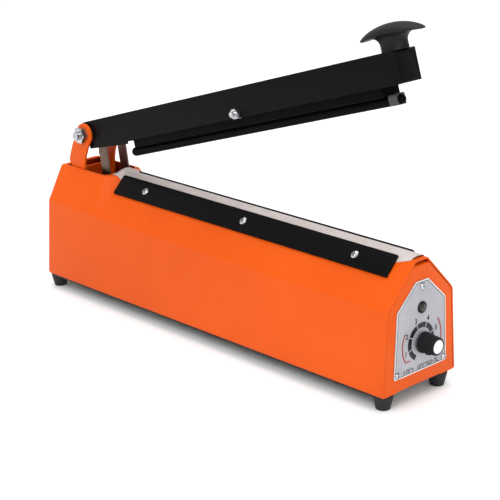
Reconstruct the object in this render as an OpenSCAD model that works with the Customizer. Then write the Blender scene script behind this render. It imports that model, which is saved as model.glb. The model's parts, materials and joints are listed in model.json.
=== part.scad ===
// Hand impulse heat sealer with a folded sheet-steel case.
// +X runs along the machine towards the timer end, +Y away from the user's side, +Z up.
// The origin is on the table, below the middle of the whole machine, with the arm open.

/* [Case] */
// Length of the case, hinge end to timer face
body_length = 415; // [380:1:500]
// Width of the case at its bottom edge
body_width = 85; // [78:1:110]
// Width of the case at the long side folds
fold_width = 75.5; // [70:0.5:100]
// Height of the side folds above the bottom edge
fold_height = 69; // [55:1:90]
// Height of the case above the bottom edge
case_height = 100.5; // [90:0.5:125]
// Width of the ridge that carries the sealing bed
ridge_width = 14; // [12:0.5:18]
// Margin of the case's flat top beside the hinge bracket
block_margin = 2.4; // [2:0.1:6]
// Length of the wide block round the hinge
block_length = 66; // [60:0.5:67]
// Length of the taper between hinge block and ridge
taper_length = 13; // [8:0.5:13]
// Thickness of the case sheet
sheet = 1.2; // [0.8:0.1:2]
// Radius of the case's vertical corners at the hinge end
corner_radius = 8; // [4:0.5:12]
// Radius of the long side folds
fold_radius = 10; // [4:0.5:16]
// Radius of the bends beside the ridge
ridge_radius = 2.5; // [1.5:0.1:4]
// Height of the rubber feet
foot_height = 11.8; // [8:0.1:20]
// Width of the turned-in flanges under the case
flange_width = 17; // [15:0.5:20]

/* [Sealing bed] */
// Length of the clamp strips
strip_length = 319; // [260:1:340]
// Width of each clamp strip, down the slope
strip_width = 19.5; // [16:0.5:24]
// Thickness of the clamp strips
strip_thick = 2; // [1.5:0.1:3]
// Gap from the clamp strips to the timer face
strip_setback = 16; // [10:1:30]
// Distance from the end of a strip to its first screw
strip_screw_margin = 37; // [20:1:60]
// Width of the aluminium bed bar
bed_width = 10; // [8:0.5:11]
// Height of the aluminium bed bar
bed_depth = 14; // [10:0.5:20]
// Height of the bed bar above the ridge
bed_rise = 0.9; // [0.5:0.1:2]
// Thickness of the insulating tape under the wire
tape_thick = 0.3; // [0.2:0.05:0.6]
// Width of the flat heating wire
wire_width = 3; // [2:0.5:5]
// Thickness of the heating wire
wire_thick = 0.3; // [0.2:0.05:0.5]
// Thickness of the non-stick cloth
cloth_thick = 0.3; // [0.2:0.05:0.5]
// Length of the non-stick cloth
cloth_length = 343; // [270:1:345]
// Reach of the cloth under each clamp strip
cloth_tuck = 5.5; // [3:0.5:6]

/* [Arm] */
// Distance from the hinge end of the case to the hinge bolt
hinge_setback = 36; // [34:0.5:40]
// Opening angle of the arm
open_angle = 17.4; // [12:0.1:22]
// Gap between pressing strip and cloth with the arm shut
shut_gap = 1.6; // [1.4:0.1:2.5]
// Width of the arm channel
arm_width = 28; // [25:0.5:34]
// Thickness of the arm's sheet
arm_sheet = 1.6; // [1.2:0.1:2.5]
// Height of the arm's top above the hinge bolt
arm_above = 10.8; // [10:0.1:14]
// Depth of the arm's side walls below the hinge bolt
arm_below = 13.7; // [12:0.1:16]
// Depth of the side walls just behind the press bar
arm_rear_below = 16.2; // [13:0.1:17]
// Length of the arm from the hinge bolt to its front end
arm_reach = 378.5; // [340:0.5:460]
// Width of the press bar
bar_width = 19; // [16:0.5:20]
// Diameter of the round silicone lip
lip_diameter = 8; // [6:0.5:10]
// Depth of the lip's lowest line below the hinge bolt
lip_depth = 28.6; // [27:0.1:34]
// Distance from the hinge bolt to the rear end of the lip
lip_start = 42.6; // [38:0.1:50]
// Distance from the hinge bolt to the rear end of the press bar
bar_start = 58; // [55:0.5:70]
// Distance from the front end of the arm back to the press bar's front end
bar_setback = 21.5; // [8:0.5:40]
// Overhang of the lip beyond the press bar's front end
lip_overhang = 12; // [10:0.5:14]
// Distance from the hinge bolt to the press bar's pivot bolt
pivot_along = 203; // [190:0.5:220]
// Depth of the press bar's pivot bolt below the hinge bolt
pivot_depth = 9.9; // [9:0.1:10.5]
// Diameter of the press bar's pivot bolt
pivot_bolt = 5; // [4:0.5:6]
// Distance from the front end of the arm back to the grip's stem
grip_setback = 8.5; // [5:0.5:30]
// Length of the palm grip
grip_length = 61; // [50:1:90]
// Width of the palm grip
grip_width = 27; // [22:1:34]
// Height of the palm grip above the arm
grip_height = 20.3; // [16:0.1:32]

/* [Hinge] */
// Diameter of the hinge bolt
hinge_bolt = 8; // [6:0.5:9]
// Radius of the rounded ears
ear_radius = 10; // [9:0.5:12]
// Thickness of the hinge bracket
ear_thick = 2.5; // [2:0.1:4]
// Thickness of the fibre washers beside the arm
washer_thick = 1.3; // [1:0.1:1.4]
// Sideways gap between washer and arm
side_gap = 0.3; // [0.2:0.05:0.6]
// Distance from the hinge bolt to the yoke pin
yoke_radius = 16; // [15:0.5:19]
// Diameter of the yoke pin
yoke_pin = 5; // [4:0.5:6]
// Forward slope of the yoke's legs
yoke_lean = 10; // [6:0.5:14]

/* [Timer end] */
// Reach of the timer knob beyond the timer face
knob_reach = 15.5; // [12:0.5:24]
// Height of the knob above the table
knob_height = 48; // [44:0.5:52]
// Diameter of the knob at its skirt
knob_skirt = 17; // [14:0.5:22]
// Diameter of the knob at its front
knob_front = 13.4; // [10:0.5:18]
// Diameter of the knob's shaft
shaft_diameter = 6; // [4:0.5:6]
// Height of the indicator lamp above the table
lamp_height = 75.6; // [72:0.1:80]
// Diameter of the indicator lens
lamp_diameter = 9.2; // [7:0.1:11]
// Thickness of the nameplate
plate_thick = 0.8; // [0.5:0.1:1.5]

/* [Fits] */
// Radial clearance of a turning bolt or shaft
running_fit = 0.06; // [0.02:0.01:0.1]
// Radial clearance of a screw in its hole
screw_fit = 0.3; // [0.15:0.05:0.5]
// Gap between pieces that lie side by side
lay_gap = 0.3; // [0.2:0.05:0.5]

/* [Hidden] */

gland_reach = 9;
overall_length = body_length + gland_reach + knob_reach;
rear_x = -overall_length / 2 + gland_reach;
front_x = rear_x + body_length;
plate_gap = sheet;
case_bottom = foot_height + plate_gap;
fold_z = case_bottom + fold_height;
case_top = case_bottom + case_height;

// Slopes that carry the clamp strips
slope_run = (fold_width - ridge_width) / 2;
slope_rise = case_top - fold_z;
slope_angle = atan2(slope_rise, slope_run);
slope_length = norm([slope_run, slope_rise]);

// Turned-in flanges
flange_rear_x = rear_x + corner_radius / 3;
flange_gap = 9;
flange_middle = (body_width - flange_width - sheet) / 2;
flange_inner = flange_middle - flange_width / 2;

// Timer face
end_plate_thick = 3;
face_radius = 2.2;
face_wall = 1.6;
shell_front_x = front_x - end_plate_thick;
end_plate_drop = 2.4;

// Bed
strip_front_x = front_x - strip_setback;
strip_rear_x = strip_front_x - strip_length;
strip_screw_pitch = (strip_length - 2 * strip_screw_margin) / 2;
strip_screw_x = [for (i = [0:2]) strip_rear_x + strip_screw_margin + i * strip_screw_pitch];
strip_screw = 4;
cloth_front_x = front_x - 4;
cloth_rear_x = cloth_front_x - cloth_length;
bed_front_x = shell_front_x - 3;
bed_rear_x = cloth_rear_x + 1;
bed_top = case_top + bed_rise;
lip_drop = 9;
wire_top = bed_top + tape_thick + wire_thick;
cloth_top = wire_top + cloth_thick;

// Hinge and arm
hinge_x = rear_x + hinge_setback;
hinge_z = cloth_top + shut_gap + lip_depth;
ear_inner = arm_width / 2 + side_gap + washer_thick;
ear_outer = ear_inner + ear_thick;
block_width = 2 * (ear_outer + block_margin);
half_open = open_angle / 2;
yoke_pin_x = hinge_x + yoke_radius * cos(half_open);
yoke_pin_z = hinge_z + yoke_radius * sin(half_open);
yoke_travel = 2 * yoke_radius * sin(half_open);
opening_rear_x = rear_x + 10.5;
opening_front_x = rear_x + block_length;
opening_radius = 6.5;
opening_half = ear_outer + 0.7;
opening_depth = 4;
bracket_back_x = opening_rear_x + 3;
bracket_base_z = case_bottom + sheet;
ear_base_front = hinge_x - 1.5;
bar_end = arm_reach - bar_setback;
bar_top = 5.5;
bar_bottom = lip_depth - lip_diameter + 0.5;
lip_end = bar_end + lip_overhang;
arm_end_radius = 3;
end_slit = 0.6;
grip_along = arm_reach - grip_setback;

// Yoke, spring and switch
yoke_leg_width = 11;
yoke_thick = 1.5;
yoke_half = arm_width / 2 - arm_sheet - 0.9;
yoke_web_z = case_bottom + 56;
web_shift = (yoke_pin_z - yoke_web_z) * tan(yoke_lean);
spring_x = yoke_pin_x + web_shift;
spring_wire = 1.6;
spring_radius = 6.5;
spring_turns = 10;
spring_bottom = case_bottom + 3;
switch_x = spring_x + 31;
lever_swing = 6;
lever_length = 22;
lever_thick = 0.8;
finger_to_pivot = 15;
shut_finger_gap = 0.2;
lever_z = yoke_web_z - yoke_travel + finger_to_pivot * tan(lever_swing) - lever_thick / 2 - shut_finger_gap;
switch_lever_pivot = [switch_x + 7, lever_z];

// Transformer
trafo_x = rear_x + 205;
trafo_size = [66, 42, 55];
trafo_foot = 1.5;

// Screws and feet
foot_inset_x = 8.5;
foot_inset_y = 10.6;
foot_top_radius = 8;
foot_bottom_radius = 5.8;
screw_m3 = 3;
screw_m4 = 4;
overlap = 0.01;

orange = "darkorange";
black = [0.08, 0.08, 0.09];
zinc = "silver";

function unit(v) = v / norm(v);

// Far half of the case's cross-section, pulled in by inset: bottom edge, long fold and ridge corner
function case_half(top_width, inset, top_drop, low) =
    let (
        wall = unit([(fold_width - body_width) / 2, fold_height]),
        slope = unit([(top_width - fold_width) / 2, slope_rise]),
        wall_in = [-wall[1], wall[0]],
        slope_in = [-slope[1], slope[0]],
        down = [0, -1],
        bottom = [body_width / 2, case_bottom] + inset * wall_in,
        fold = [fold_width / 2, fold_z] + inset * (wall_in + slope_in) / (1 + wall_in * slope_in),
        top = [top_width / 2, case_top] + inset * (slope_in + down) / (1 + slope_in * down)
    )
    [
        bottom + wall * (low - bottom[1]) / wall[1],
        fold,
        top - slope * top_drop / slope[1]
    ];

// Whole cross-section as a list of [y, z] points
function case_points(top_width, inset, top_drop = 0, low = case_bottom) =
    let (half = case_half(top_width, inset, top_drop, low))
    concat([for (p = half) [-p[0], p[1]]], [half[2], half[1], half[0]]);

// Soft bend: replaces each corner of an outline by an arc that is tangent to both sides
function soft_corners(points, radii, steps = 6) = [
    for (i = [0:len(points) - 1])
        let (
            here = points[i],
            back = points[(i + len(points) - 1) % len(points)],
            ahead = points[(i + 1) % len(points)],
            to_back = (back - here) / norm(back - here),
            to_ahead = (ahead - here) / norm(ahead - here),
            half = acos(max(-1, min(1, to_back * to_ahead))) / 2,
            setback = radii[i] / tan(half),
            middle = here + (to_back + to_ahead) / norm(to_back + to_ahead) * radii[i] / sin(half),
            start = here + to_back * setback - middle,
            finish = here + to_ahead * setback - middle,
            sweep = 180 - 2 * half
        )
        if (radii[i] == 0) here
        else each [
            for (k = [0:steps])
                middle + (sin(sweep * (1 - k / steps)) * start + sin(sweep * k / steps) * finish) / sin(sweep)
        ]
];

// Cross-section with its bends rounded
function case_outline(top_width, inset = 0, top_drop = 0, low = case_bottom) =
    let (fold = max(fold_radius - inset, 1), ridge = max(ridge_radius - inset, 0.5))
    soft_corners(case_points(top_width, inset, top_drop, low), [0, fold, ridge, ridge, fold, 0]);

// The same cross-section as a ring of 3-D points at x
function case_ring(x, top_width, inset, top_drop = 0, low = case_bottom) =
    [for (p = case_outline(top_width, inset, top_drop, low)) [x, p[0], p[1]]];

// Lays a YZ outline on the plane x = from and extrudes it to x = to
module along_x(from, to) {
    translate([from, 0, 0])
        rotate([90, 0, 90])
            linear_extrude(to - from)
                children();
}

// Extrudes an XZ outline to both sides of the plane y = 0
module across_y(width) {
    rotate([90, 0, 0])
        linear_extrude(width, center = true)
            children();
}

// Closed solid through rings of points that all run clockwise as seen from the last ring's side
module loft(rings) {
    count = len(rings[0]);
    last = len(rings) - 1;
    polyhedron(
        points = [for (r = rings) each r],
        faces = concat(
            [[for (i = [count - 1:-1:0]) i]],
            [for (k = [0:last - 1], i = [0:count - 1])
                [k * count + i, k * count + (i + 1) % count, (k + 1) * count + (i + 1) % count,
                    (k + 1) * count + i]],
            [[for (i = [0:count - 1]) last * count + i]]
        )
    );
}

// The case as one solid, pulled in by inset, with rounded corners at the hinge end
module case_solid(inset, rear, front, low) {
    radius = corner_radius - inset;
    loft(concat(
        [for (k = [0:4])
            let (a = 90 * k / 4)
                case_ring(rear + radius * (1 - cos(a)), block_width, inset + radius * (1 - sin(a)), 0, low)],
        [
            case_ring(rear_x + block_length, block_width, inset, 0, low),
            case_ring(ridge_start, ridge_width, inset, 0, low),
            case_ring(front, ridge_width, inset, 0, low)
        ]
    ));
}

// Puts children on the near slope (side = -1) or the far slope (side = 1):
// local x runs along the machine, local y up the slope from the fold, local z outwards
module on_slope(side) {
    mirror([0, side > 0 ? 1 : 0, 0])
        translate([0, -fold_width / 2, fold_z])
            rotate([slope_angle, 0, 0])
                children();
}

// Frame of the open arm: local x runs along the arm from the hinge bolt
module at_arm() {
    translate([hinge_x, 0, hinge_z])
        rotate([0, -open_angle, 0])
            children();
}

module y_rod(diameter, length) {
    rotate([90, 0, 0])
        cylinder(d = diameter, h = length, center = true, $fn = 48);
}

// Pan-head screw with its head on z = 0 and its shank below
module pan_screw(shank, length, head, head_height) {
    rotate_extrude($fn = 32)
        polygon([[0, -length], [shank / 2 - 0.4, -length], [shank / 2, -length + 0.6], [shank / 2, 0],
            [head / 2, 0], [head / 2, head_height * 0.45], [head * 0.36, head_height * 0.85],
            [head * 0.2, head_height], [0, head_height]]);
}

module crossed_screw(shank, length, head, head_height) {
    difference() {
        pan_screw(shank, length, head, head_height);
        for (turn = [0, 90])
            rotate([0, 0, turn])
                translate([-head * 0.27, -head * 0.055, head_height * 0.35])
                    cube([head * 0.54, head * 0.11, head_height]);
    }
}

module hex_nut(flats, height, bore) {
    difference() {
        intersection() {
            cylinder(d = flats / cos(30), h = height, $fn = 6);
            rotate_extrude($fn = 32)
                polygon([[0, 0], [flats * 0.5, 0], [flats * 0.6, height * 0.15],
                    [flats * 0.6, height * 0.85], [flats * 0.5, height], [0, height]]);
        }
        translate([0, 0, -1])
            cylinder(d = bore, h = height + 2, $fn = 32);
    }
}

foot_places = [for (x = [front_x - foot_inset_x, rear_x + foot_inset_x], y = [-1, 1])
    [x, y * (body_width / 2 - foot_inset_y)]];
trafo_screw_places = [for (side = [-1, 1]) [trafo_x + side * (trafo_size[0] / 2 + 6), 0]];
bracket_foot = flange_inner + 8.2 - ear_outer;
bracket_screw_places = [for (x = [bracket_back_x + 10, hinge_x + 8], side = [-1, 1])
    [x, side * (flange_inner + 3.2)]];
base_screw_places = [for (x = [front_x - 60, rear_x + 150], y = [-1, 1])
    [x, y * (body_width / 2 - flange_width / 2 - 2)]];

module case_shell() {
    color(orange)
    difference() {
        union() {
            difference() {
                case_solid(0, rear_x, shell_front_x, case_bottom);
                case_solid(sheet, rear_x + sheet, shell_front_x + 1, case_bottom - 1);
            }
            // turned-in flanges that the feet and the base plate are screwed to
            for (side = [-1, 1])
                translate([flange_rear_x, side * flange_middle - flange_width / 2, case_bottom])
                    cube([shell_front_x - flange_gap - flange_rear_x, flange_width, sheet]);
            // lips turned down along the slot, which grip the bed bar
            translate([opening_front_x, -bed_width / 2 - sheet, case_top - lip_drop])
                cube([shell_front_x - opening_front_x, bed_width + 2 * sheet, lip_drop - sheet / 2]);
        }
        // opening over the hinge
        translate([0, 0, case_top - opening_depth])
            linear_extrude(opening_depth + 5)
                polygon(soft_corners([[opening_rear_x, -opening_half], [opening_front_x, -opening_half],
                    [opening_front_x, opening_half], [opening_rear_x, opening_half]],
                    [1.5, opening_radius, opening_radius, 1.5]));
        // slot for the bed bar
        translate([opening_front_x - 1, -bed_width / 2, case_top - lip_drop - 1])
            cube([body_length, bed_width, lip_drop + 20]);
        for (side = [-1, 1], x = strip_screw_x)
            on_slope(side)
                translate([x, slope_length - strip_width / 2, -5])
                    cylinder(d = strip_screw - 0.6, h = 10, $fn = 32);
        for (p = concat(foot_places, base_screw_places))
            translate([p[0], p[1], case_bottom - 1])
                cylinder(d = screw_m4, h = 4, $fn = 32);
        for (p = bracket_screw_places)
            translate([p[0], p[1], case_bottom - 1])
                cylinder(d = screw_m4 + 2 * screw_fit, h = 4, $fn = 32);
        // hole for the cable gland
        translate([rear_x - 5, 0, gland_z])
            rotate([0, 90, 0])
                cylinder(d = 12.6, h = 20, $fn = 48);
    }
}

module base_plate() {
    half = body_width / 2 - 1.2;
    color("gray")
    difference() {
        translate([0, 0, foot_height])
            linear_extrude(plate_gap)
                polygon(soft_corners([[rear_x + 2, -half], [front_x - 4, -half], [front_x - 4, half],
                    [rear_x + 2, half]], [corner_radius, 1.5, 1.5, corner_radius]));
        for (p = concat(foot_places, base_screw_places))
            translate([p[0], p[1], foot_height - 1])
                cylinder(d = screw_m4 + 2 * screw_fit, h = 4, $fn = 32);
        for (p = concat(bracket_screw_places, trafo_screw_places))
            translate([p[0], p[1], foot_height - 1])
                cylinder(d = screw_m4, h = 4, $fn = 32);
        // cooling slots under the transformer
        for (i = [-2:2], side = [-1, 1])
            translate([trafo_x + i * 14, side * 22, foot_height - 1])
                slot_y(3, 14, 4);
    }
}

// Round-ended slot along y
module slot_y(width, length, height) {
    translate([-width / 2, -length / 2 + width / 2, 0])
        cube([width, length - width, height]);
    for (end = [-1, 1])
        translate([0, end * (length - width) / 2, 0])
            cylinder(d = width, h = height, $fn = 24);
}

module foot(place) {
    color(black)
    translate([place[0], place[1], 0])
        difference() {
            rotate_extrude($fn = 48)
                polygon([[0, 0], [foot_bottom_radius - 1, 0], [foot_bottom_radius - 0.3, 0.3],
                    [foot_bottom_radius, 1], [foot_top_radius, foot_height - 1.2],
                    [foot_top_radius, foot_height], [0, foot_height]]);
            translate([0, 0, -1])
                cylinder(d = 6.4, h = 5, $fn = 32);
            translate([0, 0, -1])
                cylinder(d = screw_m4, h = foot_height + 2, $fn = 32);
        }
}

module foot_screws() {
    color(zinc)
    for (p = foot_places)
        translate([p[0], p[1], 4])
            rotate([180, 0, 0])
                pan_screw(screw_m4, foot_height + 1, 6, 2.4);
}

module base_screws() {
    color(zinc)
    for (p = base_screw_places)
        translate([p[0], p[1], foot_height])
            rotate([180, 0, 0])
                crossed_screw(screw_m4, 8, 7, 2.2);
}

module timer_end_plate() {
    color(orange)
    difference() {
        union() {
            loft(concat(
                [case_ring(shell_front_x, ridge_width, 0.2, end_plate_drop)],
                [for (k = [0:4])
                    let (a = 90 * k / 4)
                        case_ring(front_x - face_radius * (1 - sin(a)), ridge_width,
                            0.2 + face_radius * (1 - cos(a)), end_plate_drop)]
            ));
            // lip that slips inside the case
            along_x(shell_front_x - 8, shell_front_x + overlap)
                difference() {
                    polygon(case_outline(ridge_width, sheet + lay_gap, end_plate_drop + 6));
                    polygon(case_outline(ridge_width, 2 * sheet + lay_gap, end_plate_drop + 6,
                        case_bottom - 1));
                    translate([-body_width, case_bottom - 1])
                        square([2 * body_width, 3 + sheet]);
                    translate([-body_width, fold_z + 10])
                        square([2 * body_width, case_height]);
                }
        }
        // hollow behind the face
        along_x(shell_front_x - 1, front_x - face_wall)
            difference() {
                polygon(case_outline(ridge_width, 4, end_plate_drop + 2));
                translate([-body_width, case_bottom - 1])
                    square([2 * body_width, 4]);
            }
        translate([front_x - 10, 0, knob_height])
            rotate([0, 90, 0])
                cylinder(d = 7.4, h = 20, $fn = 48);
        translate([front_x - 10, 0, lamp_height])
            rotate([0, 90, 0])
                cylinder(d = lamp_diameter - 1, h = 20, $fn = 48);
        for (p = nameplate_screw_places)
            translate([front_x - 10, p[0], p[1]])
                rotate([0, 90, 0])
                    cylinder(d = screw_m3 - 0.4, h = 20, $fn = 32);
    }
}

nameplate_half_bottom = body_width / 2 - 12;
nameplate_half_fold = fold_width / 2 - 9.85;
nameplate_bottom = case_bottom + 11;
nameplate_fold = fold_z - 4.5;
nameplate_top = case_top - 16.5;
nameplate_screw_places = [[-nameplate_half_bottom + 3.4, nameplate_bottom + 3.4],
    [nameplate_half_bottom - 3.4, nameplate_bottom + 3.4], [0, nameplate_top - 4.6]];

module nameplate() {
    color("lightgray")
    difference() {
        along_x(front_x, front_x + plate_thick)
            polygon(soft_corners([
                [-nameplate_half_bottom, nameplate_bottom],
                [-nameplate_half_fold, nameplate_fold],
                [-7, nameplate_top],
                [7, nameplate_top],
                [nameplate_half_fold, nameplate_fold],
                [nameplate_half_bottom, nameplate_bottom]
            ], [2, 3, 1.5, 1.5, 3, 2]));
        translate([front_x - 1, 0, knob_height])
            rotate([0, 90, 0])
                cylinder(d = 7.4, h = 4, $fn = 48);
        translate([front_x - 1, 0, lamp_height])
            rotate([0, 90, 0])
                cylinder(d = lamp_diameter - 1, h = 4, $fn = 48);
        for (p = nameplate_screw_places)
            translate([front_x - 1, p[0], p[1]])
                rotate([0, 90, 0])
                    cylinder(d = screw_m3 + 2 * screw_fit, h = 4, $fn = 32);
    }
}

module nameplate_screws() {
    color(zinc)
    for (p = nameplate_screw_places)
        translate([front_x + plate_thick, p[0], p[1]])
            rotate([0, 90, 0])
                crossed_screw(screw_m3 - 0.4, plate_thick + face_wall + 1.8, 5.4, 1.8);
}

module lamp_lens() {
    color([0.12, 0.08, 0.08])
    translate([front_x + plate_thick, 0, lamp_height])
        rotate([0, 90, 0])
            rotate_extrude($fn = 48)
                polygon([[0, -6], [lamp_diameter / 2 - 0.7, -6], [lamp_diameter / 2 - 0.7, 0],
                    [lamp_diameter / 2, 0], [lamp_diameter / 2 - 0.2, 0.8],
                    [lamp_diameter / 2 - 1.6, 1.3], [0, 1.6]]);
}

module lamp_holder() {
    color("white")
    translate([front_x - face_wall, 0, lamp_height])
        rotate([0, -90, 0])
            difference() {
                cylinder(d = lamp_diameter + 3, h = 14, $fn = 48);
                translate([0, 0, -1])
                    cylinder(d = lamp_diameter - 1.2, h = 12, $fn = 48);
            }
}

knob_back_x = front_x + plate_thick + 2.4;
knob_front_x = front_x + knob_reach - 0.6;
flutes = 18;
skirt_height = 2;
grip_part = knob_front_x - knob_back_x - skirt_height;

module timer_knob() {
    color(black)
    difference() {
        union() {
            translate([knob_back_x, 0, knob_height])
                rotate([0, 90, 0]) {
                    cylinder(d = knob_skirt, h = skirt_height, $fn = 48);
                    translate([0, 0, skirt_height - overlap])
                        cylinder(d1 = knob_skirt - 1, d2 = knob_front, h = grip_part, $fn = 48);
                }
            // pointer on the skirt
            translate([knob_back_x, -0.7, knob_height - knob_skirt / 2 - 1.6])
                cube([3.2, 1.4, 4]);
        }
        for (i = [0:flutes - 1])
            translate([knob_back_x, 0, knob_height])
                rotate([i * 360 / flutes, 0, 0])
                    translate([2.6, 0, knob_skirt / 2 + 0.2])
                        rotate([0, 90 + atan((knob_skirt - knob_front - 1) / 2 / grip_part), 0])
                            cylinder(d = 1.6, h = 30, $fn = 16);
        translate([knob_front_x - 1.2, 0, knob_height])
            rotate([0, 90, 0])
                cylinder(d = 9.8, h = 4, $fn = 48);
        translate([knob_back_x - 1, 0, knob_height])
            rotate([0, 90, 0])
                cylinder(d = shaft_diameter, h = 9, $fn = 48);
    }
}

module knob_cap() {
    color("white")
    translate([knob_front_x - 1.2, 0, knob_height])
        rotate([0, 90, 0])
            rotate_extrude($fn = 48)
                polygon([[0, 0], [4.9, 0], [4.9, 1.3], [4.3, 1.8], [0, 1.8]]);
}

pot_back_x = front_x - face_wall;

module timer_pot() {
    color("slategray")
    difference() {
        translate([pot_back_x, 0, knob_height])
            union() {
                rotate([0, -90, 0])
                    cylinder(d = 17, h = 9, $fn = 48);
                rotate([0, 90, 0])
                    cylinder(d = 7, h = 4.4, $fn = 48);
                // solder tags
                for (i = [-1:1])
                    translate([-5, i * 5 - 0.8, -13.5])
                        cube([0.8, 1.6, 8]);
            }
        translate([pot_back_x - 7, 0, knob_height])
            rotate([0, 90, 0])
                cylinder(d = shaft_diameter + 2 * running_fit, h = 20, $fn = 48);
    }
}

module pot_shaft() {
    color(zinc)
    translate([pot_back_x - 7 + lay_gap, 0, knob_height])
        rotate([0, 90, 0])
            cylinder(d = shaft_diameter, h = knob_back_x + 7.5 - pot_back_x + 7, $fn = 48);
}

module pot_nut() {
    color(zinc)
    translate([front_x + plate_thick, 0, knob_height])
        rotate([0, 90, 0])
            hex_nut(10, 1.8, 7.02);
}

board_x = pot_back_x - 9;
board_thick = 1.6;
board_bottom = case_bottom + 12;
board_top = lamp_height - lamp_diameter / 2 - 3.5;
board_hole_inset = 3;

module timer_board() {
    color("darkgreen")
    difference() {
        translate([board_x - board_thick, -24, board_bottom])
            cube([board_thick, 48, board_top - board_bottom]);
        for (y = [-21, 21], z = [board_bottom + board_hole_inset, board_top - board_hole_inset])
            translate([board_x - 5, y, z])
                rotate([0, 90, 0])
                    cylinder(d = 3.2, h = 8, $fn = 24);
    }
}

module timer_relay() {
    color("royalblue")
    translate([board_x - board_thick - 15.5, -20, board_bottom + 20])
        cube([15.5, 15.5, 19.5]);
}

module timer_capacitors() {
    color("midnightblue")
    for (place = [[6, 8, 10], [18, 10, 8], [17, 28, 8]])
        translate([board_x - board_thick, place[0], board_bottom + place[1]])
            rotate([0, -90, 0])
                cylinder(d = place[2], h = 14, $fn = 32);
}

module bed_bar() {
    color("silver")
    difference() {
        across_y(bed_width)
            polygon(soft_corners([
                [bed_rear_x, bed_top - bed_depth],
                [bed_front_x, bed_top - bed_depth],
                [bed_front_x, bed_top],
                [bed_rear_x, bed_top]
            ], [0, 0, 4, 4]));
        // groove that takes the clip blocks
        for (x = [bed_rear_x + 12, bed_front_x - 12])
            translate([x, 0, bed_top - bed_depth - 1])
                cylinder(d = 3.4, h = 8, $fn = 24);
    }
}

module bed_tape() {
    color("tan")
    translate([bed_rear_x + 5, -bed_width / 2 + 0.5, bed_top])
        cube([bed_front_x - bed_rear_x - 10, bed_width - 1, tape_thick]);
}

// The wire runs along the tape and bends down over both rounded ends of the bar
module heating_wire() {
    rise = bed_top + tape_thick;
    drop = rise - 8;
    color("gainsboro")
    across_y(wire_width)
        polygon(concat(
            soft_corners([
                [bed_rear_x - 0.3 - wire_thick, drop],
                [bed_rear_x - 0.3 - wire_thick, rise + wire_thick],
                [bed_front_x + 0.3 + wire_thick, rise + wire_thick],
                [bed_front_x + 0.3 + wire_thick, drop]
            ], [0, 4 + wire_thick, 4 + wire_thick, 0]),
            soft_corners([
                [bed_front_x + 0.3, drop],
                [bed_front_x + 0.3, rise],
                [bed_rear_x - 0.3, rise],
                [bed_rear_x - 0.3, drop]
            ], [0, 4, 4, 0])
        ));
}

clip_base_z = bed_top - bed_depth - 9;

// Spring strip that pulls the wire's end down
module wire_clip(direction, x) {
    outside = 0.3 + wire_thick;
    top = bed_top - 6;
    color("goldenrod")
    translate([x, 0, 0])
        scale_x(direction)
            difference() {
                across_y(6)
                    polygon([[-12, clip_base_z - 1], [outside + 1, clip_base_z - 1], [outside + 1, top],
                        [outside, top], [outside, clip_base_z], [-12, clip_base_z]]);
                translate([-7, 0, clip_base_z - 5])
                    cylinder(d = 2.6, h = 10, $fn = 24);
            }
}

module scale_x(direction) {
    mirror([direction < 0 ? 1 : 0, 0, 0])
        children();
}

module clip_block(direction, x) {
    color([0.35, 0.2, 0.12])
    translate([x, 0, clip_base_z])
        scale_x(direction)
            translate([-20, -7, 0])
                difference() {
                    cube([20, 14, bed_top - bed_depth - clip_base_z]);
                    translate([13, 7, -1])
                        cylinder(d = 2.6, h = 20, $fn = 24);
                }
}

// Cloth draped over the bed and tucked under both clamp strips, as a half outline of [y, z] points
function cloth_half(offset) =
    let (
        normal = [-sin(slope_angle), cos(slope_angle)],
        along = [cos(slope_angle), sin(slope_angle)],
        foot = [-fold_width / 2, fold_z]
    )
    [
        foot + along * (slope_length - cloth_tuck) + normal * offset,
        foot + along * (slope_length - 0.5) + normal * offset,
        [-bed_width / 2 - 0.2 - offset * 0.4, wire_top + offset]
    ];

// End of the cloth that lies over the rear end of the bed bar, behind the slopes
function tongue_half(offset) = [
    [-bed_width / 2 - 1.2 - offset, case_top + cloth_gap],
    [-bed_width / 2 - 0.2 - offset * 0.4, wire_top + offset]
];

function mirrored(half) = concat(half, [for (i = [len(half) - 1:-1:0]) [-half[i][0], half[i][1]]]);

module folded_sheet(inner, outer) {
    polygon(concat(mirrored(outer), [for (i = [2 * len(inner) - 1:-1:0]) mirrored(inner)[i]]));
}

cloth_gap = 0.02;
ridge_start = rear_x + block_length + taper_length;
cloth_wide_x = max(cloth_rear_x + 1, ridge_start + 0.5);

module ptfe_cloth() {
    color("gainsboro") {
        along_x(cloth_wide_x, cloth_front_x)
            folded_sheet(cloth_half(cloth_gap), cloth_half(cloth_gap + cloth_thick));
        along_x(cloth_rear_x, cloth_wide_x + overlap)
            folded_sheet(tongue_half(cloth_gap), tongue_half(cloth_gap + cloth_thick));
    }
}

strip_lift = cloth_gap + cloth_thick + 0.02;

module clamp_strip(side) {
    color(black)
    on_slope(side)
        difference() {
            translate([strip_rear_x, slope_length - strip_width, strip_lift])
                linear_extrude(strip_thick)
                    polygon(soft_corners([[0, 0], [strip_length, 0], [strip_length, strip_width],
                        [0, strip_width]], [1, 1, 1, 2]));
            for (x = strip_screw_x)
                translate([x, slope_length - strip_width / 2, -1])
                    cylinder(d = strip_screw + 2 * screw_fit, h = 6, $fn = 32);
        }
}

module clamp_screws(side) {
    color(zinc)
    on_slope(side)
        for (x = strip_screw_x)
            translate([x, slope_length - strip_width / 2, strip_lift + strip_thick])
                crossed_screw(strip_screw - 0.6, 8, 6.6, 2.1);
}

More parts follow.
